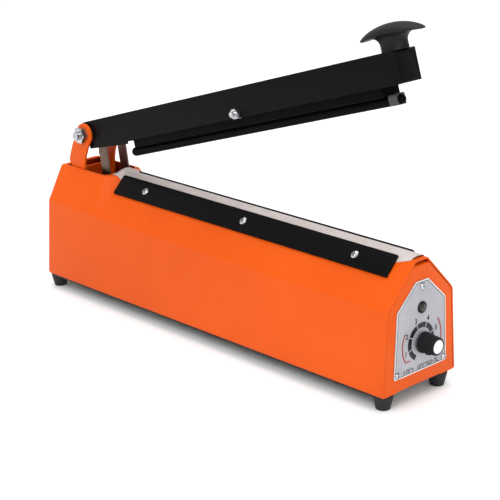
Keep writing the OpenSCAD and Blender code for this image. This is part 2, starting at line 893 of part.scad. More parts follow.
// Upright U-bracket: a web at the back, two side plates and the two leaning ears
module hinge_bracket() {
    color(orange)
    difference() {
        union() {
            across_y(2 * ear_outer) {
                polygon([[bracket_back_x, bracket_base_z], [hinge_x + 20, bracket_base_z],
                    [hinge_x + 8, bracket_base_z + 30], [ear_base_front, case_top - 8],
                    [ear_base_front, case_top + 1],
                    [hinge_x + ear_radius * 0.97, hinge_z - ear_radius * 0.25],
                    [hinge_x - ear_radius * 0.97, hinge_z + ear_radius * 0.25],
                    [bracket_back_x, case_top + 2]]);
                translate([hinge_x, hinge_z])
                    circle(r = ear_radius, $fn = 64);
            }
            // feet turned outwards on the base
            translate([bracket_back_x + 4, -ear_outer - bracket_foot, bracket_base_z])
                cube([hinge_x + 16 - bracket_back_x - 4, 2 * (ear_outer + bracket_foot), ear_thick]);
        }
        // space between the side plates
        translate([bracket_back_x + ear_thick, -ear_inner, bracket_base_z - 1])
            cube([100, 2 * ear_inner, 300]);
        // the web ends below the top of the case
        translate([bracket_back_x - 1, -ear_inner, case_top - 4])
            cube([100, 2 * ear_inner, 100]);
        translate([hinge_x, 0, hinge_z])
            y_rod(hinge_bolt + 0.1, 100);
        for (p = bracket_screw_places)
            translate([p[0], p[1], bracket_base_z - 1])
                cylinder(d = screw_m4 + 2 * screw_fit, h = 6, $fn = 32);
    }
}

module bracket_screws() {
    color(zinc)
    for (p = bracket_screw_places)
        translate([p[0], p[1], bracket_base_z + ear_thick])
            crossed_screw(screw_m4, ear_thick + sheet + plate_gap, 7, 2.2);
}

module hinge_bolt_solid() {
    color(zinc)
    translate([hinge_x, 0, hinge_z]) {
        y_rod(hinge_bolt, 2 * ear_outer);
        // threaded end on the near side
        translate([0, -ear_outer - 4.75, 0])
            y_rod(hinge_bolt - 0.6, 9.5 + overlap);
        // hexagon head on the far side
        translate([0, ear_outer, 0])
            rotate([-90, 0, 0])
                cylinder(d = 13 / cos(30), h = 5.3, $fn = 6);
    }
}

module hinge_nut() {
    color(zinc)
    translate([hinge_x, -ear_outer, hinge_z])
        rotate([90, 0, 0])
            hex_nut(13, 6, hinge_bolt - 0.6);
}

module hinge_washers() {
    color([0.3, 0.15, 0.1])
    for (side = [-1, 1])
        translate([hinge_x, side * (ear_inner - washer_thick / 2), hinge_z])
            difference() {
                y_rod(18, washer_thick);
                y_rod(hinge_bolt + 0.1, 10);
            }
}

// Side view of the arm, pulled in by inset, with its rounded rear end and deeper walls behind the press bar
module arm_side(inset, extra) {
    step = bar_start - 4;
    circle(r = arm_above - inset, $fn = 96);
    polygon(soft_corners([
        [0, arm_above - inset],
        [0, -arm_below - extra],
        [step, -arm_rear_below - extra],
        [step, -arm_below - extra],
        [arm_reach - inset, -arm_below - extra],
        [arm_reach - inset, arm_above - inset]
    ], [0, 0, 0, 0, 0, arm_end_radius - inset]));
}

module arm_channel() {
    color(black)
    at_arm()
        difference() {
            across_y(arm_width)
                arm_side(0, 0);
            across_y(arm_width - 2 * arm_sheet)
                arm_side(arm_sheet, 1);
            // the end flap is bent down from the top and stands free of the side walls
            across_y(arm_width + 2)
                translate([arm_reach - arm_sheet - end_slit, -arm_below - 1])
                    square([end_slit, arm_below + 1 + arm_above - arm_end_radius - arm_sheet]);
            y_rod(hinge_bolt + 2 * running_fit, 100);
            translate([yoke_radius * cos(half_open), 0, -yoke_radius * sin(half_open)])
                y_rod(yoke_pin, 100);
            translate([pivot_along, 0, -pivot_depth])
                y_rod(pivot_bolt + 0.1, 100);
            translate([grip_along, 0, 0])
                cylinder(d = screw_m4 + 2 * screw_fit, h = 30, $fn = 32);
        }
}

grip_stem = [22, 15];
grip_waist = 4.6;
grip_under = 12.4;
grip_rim = 0.9;
grip_droop = 2.2;
grip_flare = (grip_length - grip_stem[0]) / 4;

// Level ring of points at height z whose two ends hang down by droop
function oval(length, width, power, z, droop) = [
    for (i = [0:31])
        let (a = -360 * i / 32, x = length / 2 * sign(cos(a)) * pow(abs(cos(a)), power))
            [x, width / 2 * sign(sin(a)) * pow(abs(sin(a)), power), z - droop * pow(2 * x / grip_length, 2)]
];

// Crescent-shaped palm grip whose stem flares into its underside
module palm_grip() {
    dome = grip_height - grip_under - grip_rim;
    color(black)
    at_arm()
        translate([grip_along, 0, arm_above])
            difference() {
                loft(concat(
                    [for (z = [0, grip_waist]) oval(grip_stem[0], grip_stem[1], 0.75, z, 0)],
                    [for (k = [1:5])
                        let (
                            a = 18 * k,
                            spread = 2 * grip_flare * (1 - cos(a)),
                            z = grip_waist + (grip_under - grip_waist) * sin(a)
                        )
                        oval(grip_stem[0] + spread, grip_stem[1] + spread * (grip_width - grip_stem[1]) / 24,
                            0.75 + k / 20, z, grip_droop * sin(a))],
                    [oval(grip_length - 2, grip_width - 1.2, 1, grip_under + 0.3, grip_droop)],
                    [for (k = [0:6])
                        let (b = 4 + 80 * k / 6)
                            oval(grip_length * cos(b), grip_width * cos(b), 1,
                                grip_under + grip_rim + dome * pow(sin(b), 1.4), k == 6 ? 0 : grip_droop)]
                ));
                translate([0, 0, -1])
                    cylinder(d = screw_m4 - 0.6, h = 13, $fn = 32);
            }
}

module grip_screw() {
    color(zinc)
    at_arm()
        translate([grip_along, 0, arm_above - arm_sheet])
            rotate([180, 0, 0])
                crossed_screw(screw_m4 - 0.6, 11, 8, 2.4);
}

// Section of the press bar: a hollow rail with a slot that grips the lip's foot
module press_bar() {
    half = bar_width / 2;
    color(black)
    at_arm()
        difference() {
            along_x(bar_start, bar_end)
                polygon(soft_corners([
                    [-half, -bar_bottom], [-2.2, -bar_bottom], [-2.2, -bar_bottom + 2], [-4.4, -bar_bottom + 2],
                    [-4.4, -bar_bottom + 4.6], [4.4, -bar_bottom + 4.6], [4.4, -bar_bottom + 2],
                    [2.2, -bar_bottom + 2], [2.2, -bar_bottom], [half, -bar_bottom], [half, -bar_top],
                    [-half, -bar_top]
                ], [1, 0, 0, 0, 0, 0, 0, 0, 0, 1, 1.5, 1.5], 3));
            translate([pivot_along, 0, -pivot_depth])
                y_rod(pivot_bolt + 2 * running_fit, 100);
        }
}

module silicone_lip() {
    centre = -lip_depth + lip_diameter / 2;
    color([0.12, 0.12, 0.12])
    at_arm() {
        along_x(lip_start + lip_diameter / 2, lip_end)
            translate([0, centre])
                circle(d = lip_diameter, $fn = 48);
        translate([lip_start + lip_diameter / 2, 0, centre])
            rotate([0, -90, 0])
                rotate_extrude($fn = 48)
                    intersection() {
                        circle(d = lip_diameter, $fn = 48);
                        square(lip_diameter);
                    }
        along_x(bar_start + 1, bar_end) {
            translate([-2, centre])
                square([4, -bar_bottom + 3 - centre]);
            translate([-4.2, -bar_bottom + 2.2])
                square([8.4, 2.2]);
        }
    }
}

// Clip over the lip's free end, open below so that it stays clear of the bed
module lip_end_plug() {
    centre = -lip_depth + lip_diameter / 2;
    half = lip_diameter / 2 + 0.8;
    color("dimgray")
    at_arm()
        difference() {
            along_x(bar_end + lay_gap, bar_end + lip_overhang - 3.5)
                translate([0, centre])
                    polygon(soft_corners([[-half, 0.1 - lip_diameter / 2], [half, 0.1 - lip_diameter / 2],
                        [half, half], [-half, half]], [0.3, 0.3, 1.5, 1.5]));
            translate([bar_end - 1, 0, centre])
                rotate([0, 90, 0])
                    cylinder(d = lip_diameter + 0.1, h = 20, $fn = 48);
        }
}

module pivot_bolt_solid() {
    color(zinc)
    at_arm()
        translate([pivot_along, 0, -pivot_depth]) {
            y_rod(pivot_bolt, arm_width);
            translate([0, -arm_width / 2 - 3.5, 0])
                y_rod(pivot_bolt - 0.5, 7 + overlap);
            translate([0, arm_width / 2, 0])
                rotate([-90, 0, 0])
                    cylinder(d = 8 / cos(30), h = 3.5, $fn = 6);
        }
}

module pivot_nut() {
    color(zinc)
    at_arm()
        translate([pivot_along, -arm_width / 2, -pivot_depth])
            rotate([90, 0, 0])
                hex_nut(8, 4, pivot_bolt - 0.5);
}

module pivot_spacers() {
    gap = arm_width / 2 - arm_sheet - bar_width / 2;
    color(zinc)
    at_arm()
        for (side = [-1, 1])
            translate([pivot_along, side * (arm_width / 2 - arm_sheet - (gap - side_gap) / 2), -pivot_depth])
                difference() {
                    y_rod(8.6, gap - side_gap);
                    y_rod(pivot_bolt + 0.1, 20);
                }
}

// Two leaning strips joined by a web that rests on the return spring
module lift_yoke() {
    color("rosybrown")
    translate([yoke_pin_x, 0, yoke_pin_z])
        difference() {
            union() {
                for (side = [-1, 1])
                    translate([0, side * (yoke_half - yoke_thick / 2), 0])
                        across_y(yoke_thick)
                            union() {
                                circle(d = yoke_leg_width, $fn = 48);
                                polygon([[-yoke_leg_width / 2, 0], [yoke_leg_width / 2, 0],
                                    [web_shift + yoke_leg_width / 2, yoke_web_z - yoke_pin_z],
                                    [web_shift - yoke_leg_width / 2, yoke_web_z - yoke_pin_z]]);
                            }
                translate([web_shift - yoke_leg_width / 2, -yoke_half, yoke_web_z - yoke_pin_z])
                    cube([yoke_leg_width, 2 * yoke_half, yoke_thick]);
                // finger that reaches over the switch lever
                translate([web_shift, -3, yoke_web_z - yoke_pin_z])
                    cube([switch_lever_pivot[0] - finger_to_pivot - spring_x, 6, yoke_thick]);
            }
            y_rod(yoke_pin + 2 * running_fit, 100);
            across_y(100)
                slot_outline(yoke_pin + 2 * running_fit, yoke_radius * (1 - cos(half_open)) + 0.3);
        }
}

// Short level slot that opens forwards from the pin's hole
module slot_outline(width, extra) {
    translate([0, -width / 2])
        square([extra, width]);
    translate([extra, 0])
        circle(d = width, $fn = 48);
}

module yoke_pin_rod() {
    color(zinc)
    at_arm()
        translate([yoke_radius * cos(half_open), 0, -yoke_radius * sin(half_open)])
            y_rod(yoke_pin, arm_width);
}

// Helical compression spring with closed ends
module return_spring() {
    height = yoke_web_z - spring_bottom - spring_wire;
    steps_per_turn = 12;
    rings = spring_turns * steps_per_turn;
    color(zinc)
    translate([spring_x, 0, spring_bottom + spring_wire / 2])
        loft([for (k = [0:rings])
            let (a = 360 * k / steps_per_turn, z = height * k / rings)
                [for (i = [0:5])
                    let (b = 60 * i, r = spring_radius + spring_wire / 2 * cos(b))
                        [r * cos(a), r * sin(a), z + spring_wire / 2 * sin(b)]]]);
}

module spring_post() {
    color(zinc)
    translate([spring_x, 0, case_bottom])
        rotate_extrude($fn = 48)
            polygon([[0, 0], [8.5, 0], [8.5, 3], [4.6, 3], [4.6, 32], [3.6, 34], [0, 34]]);
}

switch_top = switch_lever_pivot[1] - 3.2;

module micro_switch() {
    color([0.1, 0.1, 0.1])
    translate([switch_x - 14, -5, switch_top - 16])
        difference() {
            cube([28, 10, 16]);
            for (x = [3, 25], z = [3, 13])
                if ((x < 10) == (z < 10))
                    translate([x, 5, z])
                        y_rod(3.2, 20);
        }
}

module switch_lever() {
    color(zinc)
    translate([switch_lever_pivot[0], 0, switch_lever_pivot[1]]) {
        translate([-lever_length, -2.5, -lever_thick / 2])
            cube([lever_length, 5, lever_thick]);
        y_rod(2.4, 5);
    }
}

module switch_bracket() {
    color(zinc)
    difference() {
        union() {
            translate([switch_x - 14, 5, case_bottom])
                cube([28, 1.5, switch_top - case_bottom]);
            translate([switch_x - 14, 5, case_bottom])
                cube([28, 12, 1.5]);
        }
        for (x = [3, 25], z = [3, 13])
            if ((x < 10) == (z < 10))
                translate([switch_x - 14 + x, 6, switch_top - 16 + z])
                    y_rod(3.2, 20);
    }
}

module transformer_core() {
    size = trafo_size;
    window = [11, 33];
    color("dimgray")
    translate([trafo_x, 0, case_bottom])
        difference() {
            union() {
                translate([-size[0] / 2, -size[1] / 2 + 8, trafo_foot - overlap])
                    cube([size[0], size[1] - 16, size[2]]);
                // clamp frame with two feet
                translate([-size[0] / 2 - 12, -size[1] / 2 + 8, 0])
                    cube([size[0] + 24, size[1] - 16, trafo_foot]);
            }
            for (side = [-1, 1])
                translate([side * 16.5 - window[0] / 2, -size[1], 12.5])
                    cube([window[0], 2 * size[1], window[1]]);
            for (side = [-1, 1])
                translate([side * (size[0] / 2 + 6), 0, -1])
                    cylinder(d = screw_m4 + 2 * screw_fit, h = 4, $fn = 32);
        }
}

// Winding round the middle limb
module transformer_coil() {
    color("saddlebrown")
    translate([trafo_x, 0, case_bottom + 12.5])
        linear_extrude(32.5)
            difference() {
                polygon(soft_corners([[-21.5, -21], [21.5, -21], [21.5, 21], [-21.5, 21]], [5, 5, 5, 5]));
                square([22.6, 26.6], center = true);
            }
}

module transformer_screws() {
    color(zinc)
    for (p = trafo_screw_places)
        translate([p[0], p[1], case_bottom + trafo_foot])
            crossed_screw(screw_m4, trafo_foot + plate_gap, 7, 2.2);
}

gland_z = case_bottom + 22;

module cable_gland() {
    color(black)
    translate([rear_x, 0, gland_z])
        rotate([0, -90, 0])
            difference() {
                union() {
                    translate([0, 0, -8])
                        cylinder(d = 12, h = 9, $fn = 48);
                    cylinder(d = 18 / cos(30), h = 3.5, $fn = 6);
                    translate([0, 0, 3.5 - overlap])
                        cylinder(d1 = 15, d2 = 10, h = gland_reach - 3.5, $fn = 48);
                }
                translate([0, 0, -20])
                    cylinder(d = 6.5, h = 60, $fn = 48);
            }
}

module gland_nut() {
    color(black)
    translate([rear_x + sheet, 0, gland_z])
        rotate([0, 90, 0])
            hex_nut(16, 3, 12.04);
}

case_shell();
base_plate();
foot(foot_places[0]);  // foot_front_near
foot(foot_places[1]);  // foot_front_far
foot(foot_places[2]);  // foot_rear_near
foot(foot_places[3]);  // foot_rear_far
foot_screws();
base_screws();
timer_end_plate();
nameplate();
nameplate_screws();
lamp_lens();
lamp_holder();
timer_knob();
knob_cap();
timer_pot();
pot_shaft();
pot_nut();
timer_board();
timer_relay();
timer_capacitors();
bed_bar();
bed_tape();
heating_wire();
wire_clip(1, bed_front_x);  // wire_clip_front
wire_clip(-1, bed_rear_x);  // wire_clip_rear
clip_block(1, bed_front_x);  // clip_block_front
clip_block(-1, bed_rear_x);  // clip_block_rear
ptfe_cloth();
clamp_strip(-1);  // clamp_strip_near
clamp_strip(1);  // clamp_strip_far
clamp_screws(-1);  // clamp_screws_near
clamp_screws(1);  // clamp_screws_far
hinge_bracket();
bracket_screws();
hinge_bolt_solid();  // hinge_bolt
hinge_nut();
hinge_washers();
arm_channel();
palm_grip();
grip_screw();
press_bar();
silicone_lip();
lip_end_plug();
pivot_bolt_solid();  // pivot_bolt_press_bar
pivot_nut();
pivot_spacers();
lift_yoke();
yoke_pin_rod();
return_spring();
spring_post();
micro_switch();
switch_lever();
switch_bracket();
transformer_core();
transformer_coil();
transformer_screws();
cable_gland();
gland_nut();
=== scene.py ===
"""Looks of the hand impulse heat sealer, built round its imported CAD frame."""

import json
import math
import random

import bmesh
import bpy
from mathutils import Matrix, Vector


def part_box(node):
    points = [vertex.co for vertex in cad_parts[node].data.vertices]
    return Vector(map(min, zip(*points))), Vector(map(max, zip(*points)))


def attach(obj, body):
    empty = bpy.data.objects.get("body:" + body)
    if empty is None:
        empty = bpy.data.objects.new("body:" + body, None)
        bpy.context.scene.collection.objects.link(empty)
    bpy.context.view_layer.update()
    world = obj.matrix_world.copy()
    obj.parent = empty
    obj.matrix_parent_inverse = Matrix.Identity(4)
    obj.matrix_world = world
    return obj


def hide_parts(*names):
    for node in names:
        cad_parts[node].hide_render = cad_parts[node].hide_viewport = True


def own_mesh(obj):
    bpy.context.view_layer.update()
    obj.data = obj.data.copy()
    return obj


MM = 0.001
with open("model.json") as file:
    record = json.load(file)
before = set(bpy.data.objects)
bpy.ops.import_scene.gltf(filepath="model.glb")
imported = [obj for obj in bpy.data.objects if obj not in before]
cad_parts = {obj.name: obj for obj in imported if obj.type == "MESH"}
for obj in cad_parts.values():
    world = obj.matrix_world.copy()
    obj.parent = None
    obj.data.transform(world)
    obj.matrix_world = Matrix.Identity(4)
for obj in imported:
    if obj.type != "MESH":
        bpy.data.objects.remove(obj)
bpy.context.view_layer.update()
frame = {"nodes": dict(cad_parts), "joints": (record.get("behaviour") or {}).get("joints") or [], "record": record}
nodes = frame["nodes"]
random.seed(7)


# ---------------------------------------------------------------- frame sizes, in millimetres
def low(node):
    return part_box(node)[0] / MM


def high(node):
    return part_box(node)[1] / MM


joints = {joint["name"]: joint for joint in frame["joints"]}
hinge = Vector(joints["arm_hinge"]["pos_m"]) / MM
open_angle = math.radians(joints["arm_hinge"]["range_deg"][1])
rear_x = low("case_shell").x
front_x = high("timer_end_plate").x
case_bottom = low("case_shell").z
case_top = high("case_shell").z
body_half = high("case_shell").y

# Case: half widths at its bends, height of its side fold, ends of its hinge block and taper
FOLD_HALF = 37.75
FOLD_Z = case_bottom + 69
RIDGE_HALF = 7.0
BLOCK_HALF = 20.5
BLOCK_END = rear_x + 66
RIDGE_START = rear_x + 79
CORNER_RADIUS = 8.0
FLANGE = 17.0
SHEET = 1.2
# Keyhole in the case's top: opening round the hinge, then the slot of the sealing bed
OPENING_REAR = rear_x + 10.5
OPENING_HALF = 18.8
SLOT_HALF = 5.0
SLOT_END = front_x - 5
# From the arm's own frame, hinge at the origin and length along X, to the open arm's place
to_arm = Matrix.Translation(hinge * MM) @ Matrix.Rotation(-open_angle, 4, "Y")


# ---------------------------------------------------------------- materials
class Nodes:
    """Small helper that adds shader nodes and links them."""

    def __init__(self, name):
        self.material = bpy.data.materials.new(name)
        self.material.use_nodes = True
        self.tree = self.material.node_tree
        self.shader = self.tree.nodes["Principled BSDF"]
        self.coords = self.tree.nodes.new("ShaderNodeTexCoord").outputs["Object"]

    def add(self, kind, **values):
        """New shader node; each value is a property of the node or else one of its inputs."""
        node = self.tree.nodes.new(kind)
        for key, value in values.items():
            if hasattr(node, key):
                setattr(node, key, value)
            else:
                node.inputs[key].default_value = value
        return node

    def link(self, source, target):
        self.tree.links.new(source, target)

    def set(self, **values):
        for key, value in values.items():
            self.shader.inputs[key.replace("_", " ")].default_value = value

    def noise(self, scale, detail=3.0, rough=0.5, stretch=None):
        node = self.add("ShaderNodeTexNoise", Scale=scale, Detail=detail, Roughness=rough)
        source = self.coords
        if stretch:
            mapping = self.add("ShaderNodeMapping", Scale=stretch)
            self.link(self.coords, mapping.inputs["Vector"])
            source = mapping.outputs["Vector"]
        self.link(source, node.inputs["Vector"])
        return node.outputs["Fac"]

    def ramp(self, source, start, end, first, last):
        node = self.add("ShaderNodeMapRange")
        for key, value in (("From Min", start), ("From Max", end), ("To Min", first), ("To Max", last)):
            node.inputs[key].default_value = value
        self.link(source, node.inputs["Value"])
        return node.outputs["Result"]

    def compute(self, operation, a, b):
        node = self.add("ShaderNodeMath", operation=operation)
        for source, target in zip((a, b), node.inputs):
            if isinstance(source, (int, float)):
                target.default_value = source
            else:
                self.link(source, target)
        return node.outputs["Value"]

    def mix(self, factor, a, b):
        node = self.add("ShaderNodeMix", data_type="RGBA")
        for source, target in ((a, node.inputs[6]), (b, node.inputs[7])):
            if isinstance(source, tuple):
                target.default_value = (*source, 1)
            else:
                self.link(source, target)
        self.link(factor, node.inputs["Factor"])
        return node.outputs[2]

    def bump(self, height, distance, strength=1.0, before=None):
        node = self.add("ShaderNodeBump", Strength=strength, Distance=distance)
        self.link(height, node.inputs["Height"])
        if before:
            self.link(before, node.inputs["Normal"])
        return node.outputs["Normal"]

    def edge_wear(self):
        """Mask of a painted edge highlight: from 0 on flats to 1 within half a millimetre of an edge, broken up by
        noise.
        """
        highlight_start = 0.02
        highlight_full = 0.2
        geometry = self.add("ShaderNodeNewGeometry")
        rounded_off = self.add("ShaderNodeBevel", samples=4, Radius=0.5 * MM)
        facing = self.add("ShaderNodeVectorMath", operation="DOT_PRODUCT")
        self.link(geometry.outputs["Normal"], facing.inputs[0])
        self.link(rounded_off.outputs["Normal"], facing.inputs[1])
        highlight_band = self.ramp(facing.outputs["Value"], 1 - highlight_start, 1 - highlight_full, 0, 1)
        patches = self.ramp(self.noise(180, 4, 0.7), 0.45, 0.62, 0, 1)
        return self.compute("MULTIPLY", highlight_band, patches)

    def finish(self, color=None, rough=None, normal=None):
        for name, source in (("Base Color", color), ("Roughness", rough), ("Normal", normal)):
            if source:
                self.link(source, self.shader.inputs[name])
        return self.material


def powder_coat():
    """Orange powder coat: orange peel, a few coarser dimples, slightly uneven tone and gloss, and a painted
    highlight along its edges.
    """
    n = Nodes("case_paint")
    fine = n.noise(1300, 2, 0.6)
    coarse = n.noise(430, 2, 0.5)
    tone = n.ramp(n.noise(9, 2), 0.3, 0.7, 0, 1)
    body = n.mix(tone, (0.60, 0.072, 0.0015), (0.67, 0.086, 0.002))
    n.set(Specular_IOR_Level=0.13)
    # The lighter orange along the edges is a painted edge highlight.
    return n.finish(
        color=n.mix(n.edge_wear(), body, (0.78, 0.13, 0.012)),
        rough=n.ramp(coarse, 0.3, 0.7, 0.34, 0.46),
        normal=n.bump(fine, 0.00018, 0.8, n.bump(coarse, 0.0006, 0.6)),
    )


def satin_black(name, level, roughness, specular, peel=900, tint=1.15):
    """Black paint or plastic with a faint grain, uneven sheen and a painted grey highlight along its edges."""
    n = Nodes(name)
    patches = n.ramp(n.noise(14, 3, 0.6), 0.3, 0.7, 0, 1)
    n.set(Specular_IOR_Level=specular)
    body = n.mix(patches, (level,) * 3, (level * 1.3, level * 1.3, level * 1.3 * tint))
    # Lighter grey along the edges: a painted edge highlight.
    edge_highlight_grey = level * 3 + 0.01
    return n.finish(
        color=n.mix(n.edge_wear(), body, (edge_highlight_grey,) * 3),
        rough=n.ramp(patches, 0, 1, roughness - 0.05, roughness + 0.06),
        normal=n.bump(n.noise(peel, 3, 0.6), 0.00008, 0.5),
    )


def metal(name, color, roughness, brushed=None, contrast=0.85):
    """Plated or plain metal with fine lines and a mottled tone."""
    n = Nodes(name)
    spots = n.ramp(n.noise(160, 4, 0.6), 0.35, 0.65, 0, 1)
    lines = n.noise(700, 3, 0.6, brushed) if brushed else n.noise(1600, 2)
    n.set(Metallic=1.0)
    darker = tuple(c * contrast for c in color)
    return n.finish(
        color=n.mix(spots, darker, color),
        rough=n.ramp(lines, 0.3, 0.7, roughness - 0.07, roughness + 0.08),
        normal=n.bump(lines, 0.00004, 0.35),
    )


def silver_print():
    """Silver-grey anodised nameplate: fine vertical brushing under a satin lacquer."""
    n = Nodes("nameplate_silver")
    lines = n.noise(900, 3, 0.6, (1, 1, 0.05))
    tone = n.ramp(n.noise(30, 3), 0.3, 0.7, 0, 1)
    n.set(Metallic=0.1, Specular_IOR_Level=0.3)
    return n.finish(
        color=n.mix(tone, (0.33, 0.33, 0.36), (0.39, 0.39, 0.42)),
        rough=n.ramp(lines, 0.3, 0.7, 0.38, 0.5),
        normal=n.bump(lines, 0.00003, 0.4),
    )


def plain(name, color, roughness, level=0.5):
    """Moulded plastic, rubber or board with a light mottle."""
    n = Nodes(name)
    mottle = n.ramp(n.noise(60, 4, 0.6), 0.3, 0.7, 0, 1)
    n.set(Specular_IOR_Level=level)
    return n.finish(
        color=n.mix(mottle, tuple(0.85 * c for c in color), color),
        rough=n.ramp(mottle, 0, 1, roughness - 0.05, roughness + 0.05),
        normal=n.bump(n.noise(800, 3), 0.00005, 0.5),
    )


def glass_cloth():
    """Coated glass cloth: plain weave under a satin film, with a row of pinholes by its far edge."""
    n = Nodes("cloth")
    pinholes_y = 6.3 * MM
    threads = []
    for axis in ("X", "Y"):
        wave = n.add("ShaderNodeTexWave", Scale=340.0, bands_direction=axis)
        n.link(n.coords, wave.inputs["Vector"])
        threads.append(wave.outputs["Fac"])
    weave = n.compute("MULTIPLY", *threads)
    stains = n.ramp(n.noise(45, 4, 0.6), 0.35, 0.7, 0, 1)
    split = n.add("ShaderNodeSeparateXYZ")
    n.link(n.coords, split.inputs["Vector"])
    beside = n.compute("ABSOLUTE", n.compute("SUBTRACT", split.outputs["Y"], pinholes_y), 0)
    along = n.add("ShaderNodeTexWave", Scale=95.0, bands_direction="X")
    n.link(n.coords, along.inputs["Vector"])
    row = n.ramp(beside, 0.25 * MM, 0.55 * MM, 1, 0)
    dots = n.compute("MULTIPLY", row, n.ramp(along.outputs["Fac"], 0.45, 0.6, 0, 1))
    n.set(Specular_IOR_Level=0.4, Sheen_Weight=0.1)
    film = n.mix(stains, (0.42, 0.36, 0.345), (0.52, 0.465, 0.45))
    return n.finish(
        color=n.mix(dots, film, (0.12, 0.09, 0.085)),
        rough=n.ramp(weave, 0, 1, 0.4, 0.58),
        normal=n.bump(weave, 0.0001, 0.6),
    )


materials = {
    "case_paint": powder_coat(),
    "black_paint": satin_black("black_paint", 0.0026, 0.4, 0.06),
    "black_plastic": satin_black("black_plastic", 0.0065, 0.44, 0.15, 1300, tint=1.25),
    "white_plastic": plain("white_plastic", (0.8, 0.8, 0.79), 0.35),
    "zinc": metal("zinc", (0.56, 0.57, 0.59), 0.24, contrast=0.7),
    "steel": metal("steel", (0.15, 0.105, 0.082), 0.34, (1, 1, 0.05)),
    "aluminium": metal("aluminium", (0.80, 0.80, 0.81), 0.4, (0.04, 1, 1)),
    "black_aluminium": satin_black("black_aluminium", 0.0016, 0.42, 0.03),
    "brass": metal("brass", (0.75, 0.55, 0.25), 0.35),
    "foot_rubber": plain("foot_rubber", (0.012, 0.012, 0.013), 0.6, 0.3),
    "silicone": plain("silicone", (0.0025, 0.0025, 0.0027), 0.5, 0.04),
    "cloth": glass_cloth(),
    "dark_lens": plain("dark_lens", (0.006, 0.005, 0.005), 0.1, 0.5),
    "fibre": plain("fibre", (0.07, 0.02, 0.012), 0.7),
    "board": plain("board", (0.02, 0.12, 0.04), 0.4),
    "blue_plastic": plain("blue_plastic", (0.02, 0.06, 0.25), 0.35),
    "winding": plain("winding", (0.25, 0.09, 0.03), 0.4),
}
silver = silver_print()
black_ink = plain("black_ink", (0.008, 0.008, 0.009), 0.45, 0.3)
red_ink = plain("red_ink", (0.30, 0.035, 0.035), 0.5, 0.3)
# Zinc darkened almost to black: painted shade for the base plate's edge under the case.
zinc_painted_shade = metal("zinc_painted_shade", (0.05, 0.045, 0.04), 0.5)
clip_grey = plain("clip_grey", (0.05, 0.05, 0.055), 0.45, 0.3)
slots = {}
for part in frame["record"]["subparts"]:
    slots[part["node"]] = part["material_slot"]
    mesh = nodes[part["node"]].data
    mesh.materials.clear()
    mesh.materials.append(materials[part["material_slot"]])
own_looks = {
    # The base plate's zinc is shown darkened, as painted shade.
    "base_plate": zinc_painted_shade,
    "yoke_pin_rod": materials["black_paint"],
    "lip_end_plug": clip_grey,
}
for name, look in own_looks.items():
    nodes[name].data.materials[0] = look


# ---------------------------------------------------------------- mesh helpers, in millimetres
def share(value):
    """The value kept between 0 and 1."""
    return min(1, max(0, value))


def smooth_step(t):
    return t * t * (3 - 2 * t)


def quarter_turn(steps):
    """Angles of a quarter turn, from 0 to 90 degrees."""
    return [math.pi / 2 * k / steps for k in range(steps + 1)]


def rounded(points, radii, steps=6, closed=True):
    """Replaces each corner of a 2-D outline by an arc tangent to both sides."""
    result = []
    count = len(points)
    for i, (corner, radius) in enumerate(zip(points, radii)):
        here = Vector(corner)
        if radius <= 0 or (not closed and i in (0, count - 1)):
            result.append(tuple(here))
            continue
        back = (Vector(points[i - 1]) - here).normalized()
        ahead = (Vector(points[(i + 1) % count]) - here).normalized()
        half = back.angle(ahead) / 2
        middle = here + (back + ahead).normalized() * radius / math.sin(half)
        start = here + back * radius / math.tan(half) - middle
        end = here + ahead * radius / math.tan(half) - middle
        sweep = math.pi - 2 * half
        for k in range(steps + 1):
            t = k / steps
            turned = math.sin(sweep * (1 - t)) * start + math.sin(sweep * t) * end
            result.append(tuple(middle + turned / math.sin(sweep)))
    return result


def strip_faces(rings, closed):
    """Quads between rings of point numbers."""
    faces = []
    for a, b in zip(rings, rings[1:]):
        count = len(a)
        for i in range(count if closed else count - 1):
            j = (i + 1) % count
            faces.append((a[i], a[j], b[j], b[i]))
    return faces


def lofted(rings, closed=True, caps=True):
    """A bmesh skinned over rings of 3-D points."""
    bm = bmesh.new()
    numbered = [[bm.verts.new(p) for p in ring] for ring in rings]
    for face in strip_faces(numbered, closed):
        bm.faces.new(face)
    if caps and closed:
        bm.faces.new(numbered[0][::-1])
        bm.faces.new(numbered[-1])
    bmesh.ops.recalc_face_normals(bm, faces=bm.faces)
    return bm


def prism(outline, start, end, place):
    """A bmesh prism: place(u, v, depth) gives the 3-D point of outline point (u, v)."""
    return lofted([[place(u, v, d) for u, v in outline] for d in (start, end)])


def lathed(profile, place, count=48):
    """A bmesh turned from (radius, depth) pairs: place(u, v, depth) gives the 3-D point."""
    rings = []
    for radius, depth in profile:
        turn = [2 * math.pi * i / count for i in range(count)]
        rings.append([place(radius * math.cos(a), radius * math.sin(a), depth) for a in turn])
    return lofted(rings)


def facing_front(y, z, x):
    return x, y, z


def across(x, z, y):
    return x, y, z


def upright(x, y, z):
    return x, y, z


def soften(bm, width, segments=3, where=lambda edge: True, angle=30):
    """Rounds the edges sharper than angle that where accepts."""
    sharp = [e for e in bm.edges
             if len(e.link_faces) == 2 and e.calc_face_angle(0) > math.radians(angle) and where(e)]
    bmesh.ops.bevel(bm, geom=sharp, offset=width, offset_type="OFFSET", segments=segments,
                    profile=0.5, affect="EDGES", clamp_overlap=True)
    return bm


def piece(name, bm, slot, body, stands_for=(), material=None, local=None, crease=34):
    """Turns a bmesh in millimetres into a finished piece that rides on a body."""
    for edge in bm.edges:
        edge.smooth = edge.calc_face_angle(0) < math.radians(crease)
    for face in bm.faces:
        face.smooth = True
    mesh = bpy.data.meshes.new(name)
    bm.to_mesh(mesh)
    bm.free()
    mesh.transform(Matrix.Scale(MM, 4))
    if local is not None:
        mesh.transform(local)
    mesh.materials.append(material or materials[slot])
    result = bpy.data.objects.new(name, mesh)
    bpy.context.scene.collection.objects.link(result)
    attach(result, body)
    if stands_for:
        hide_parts(*stands_for)
    return result


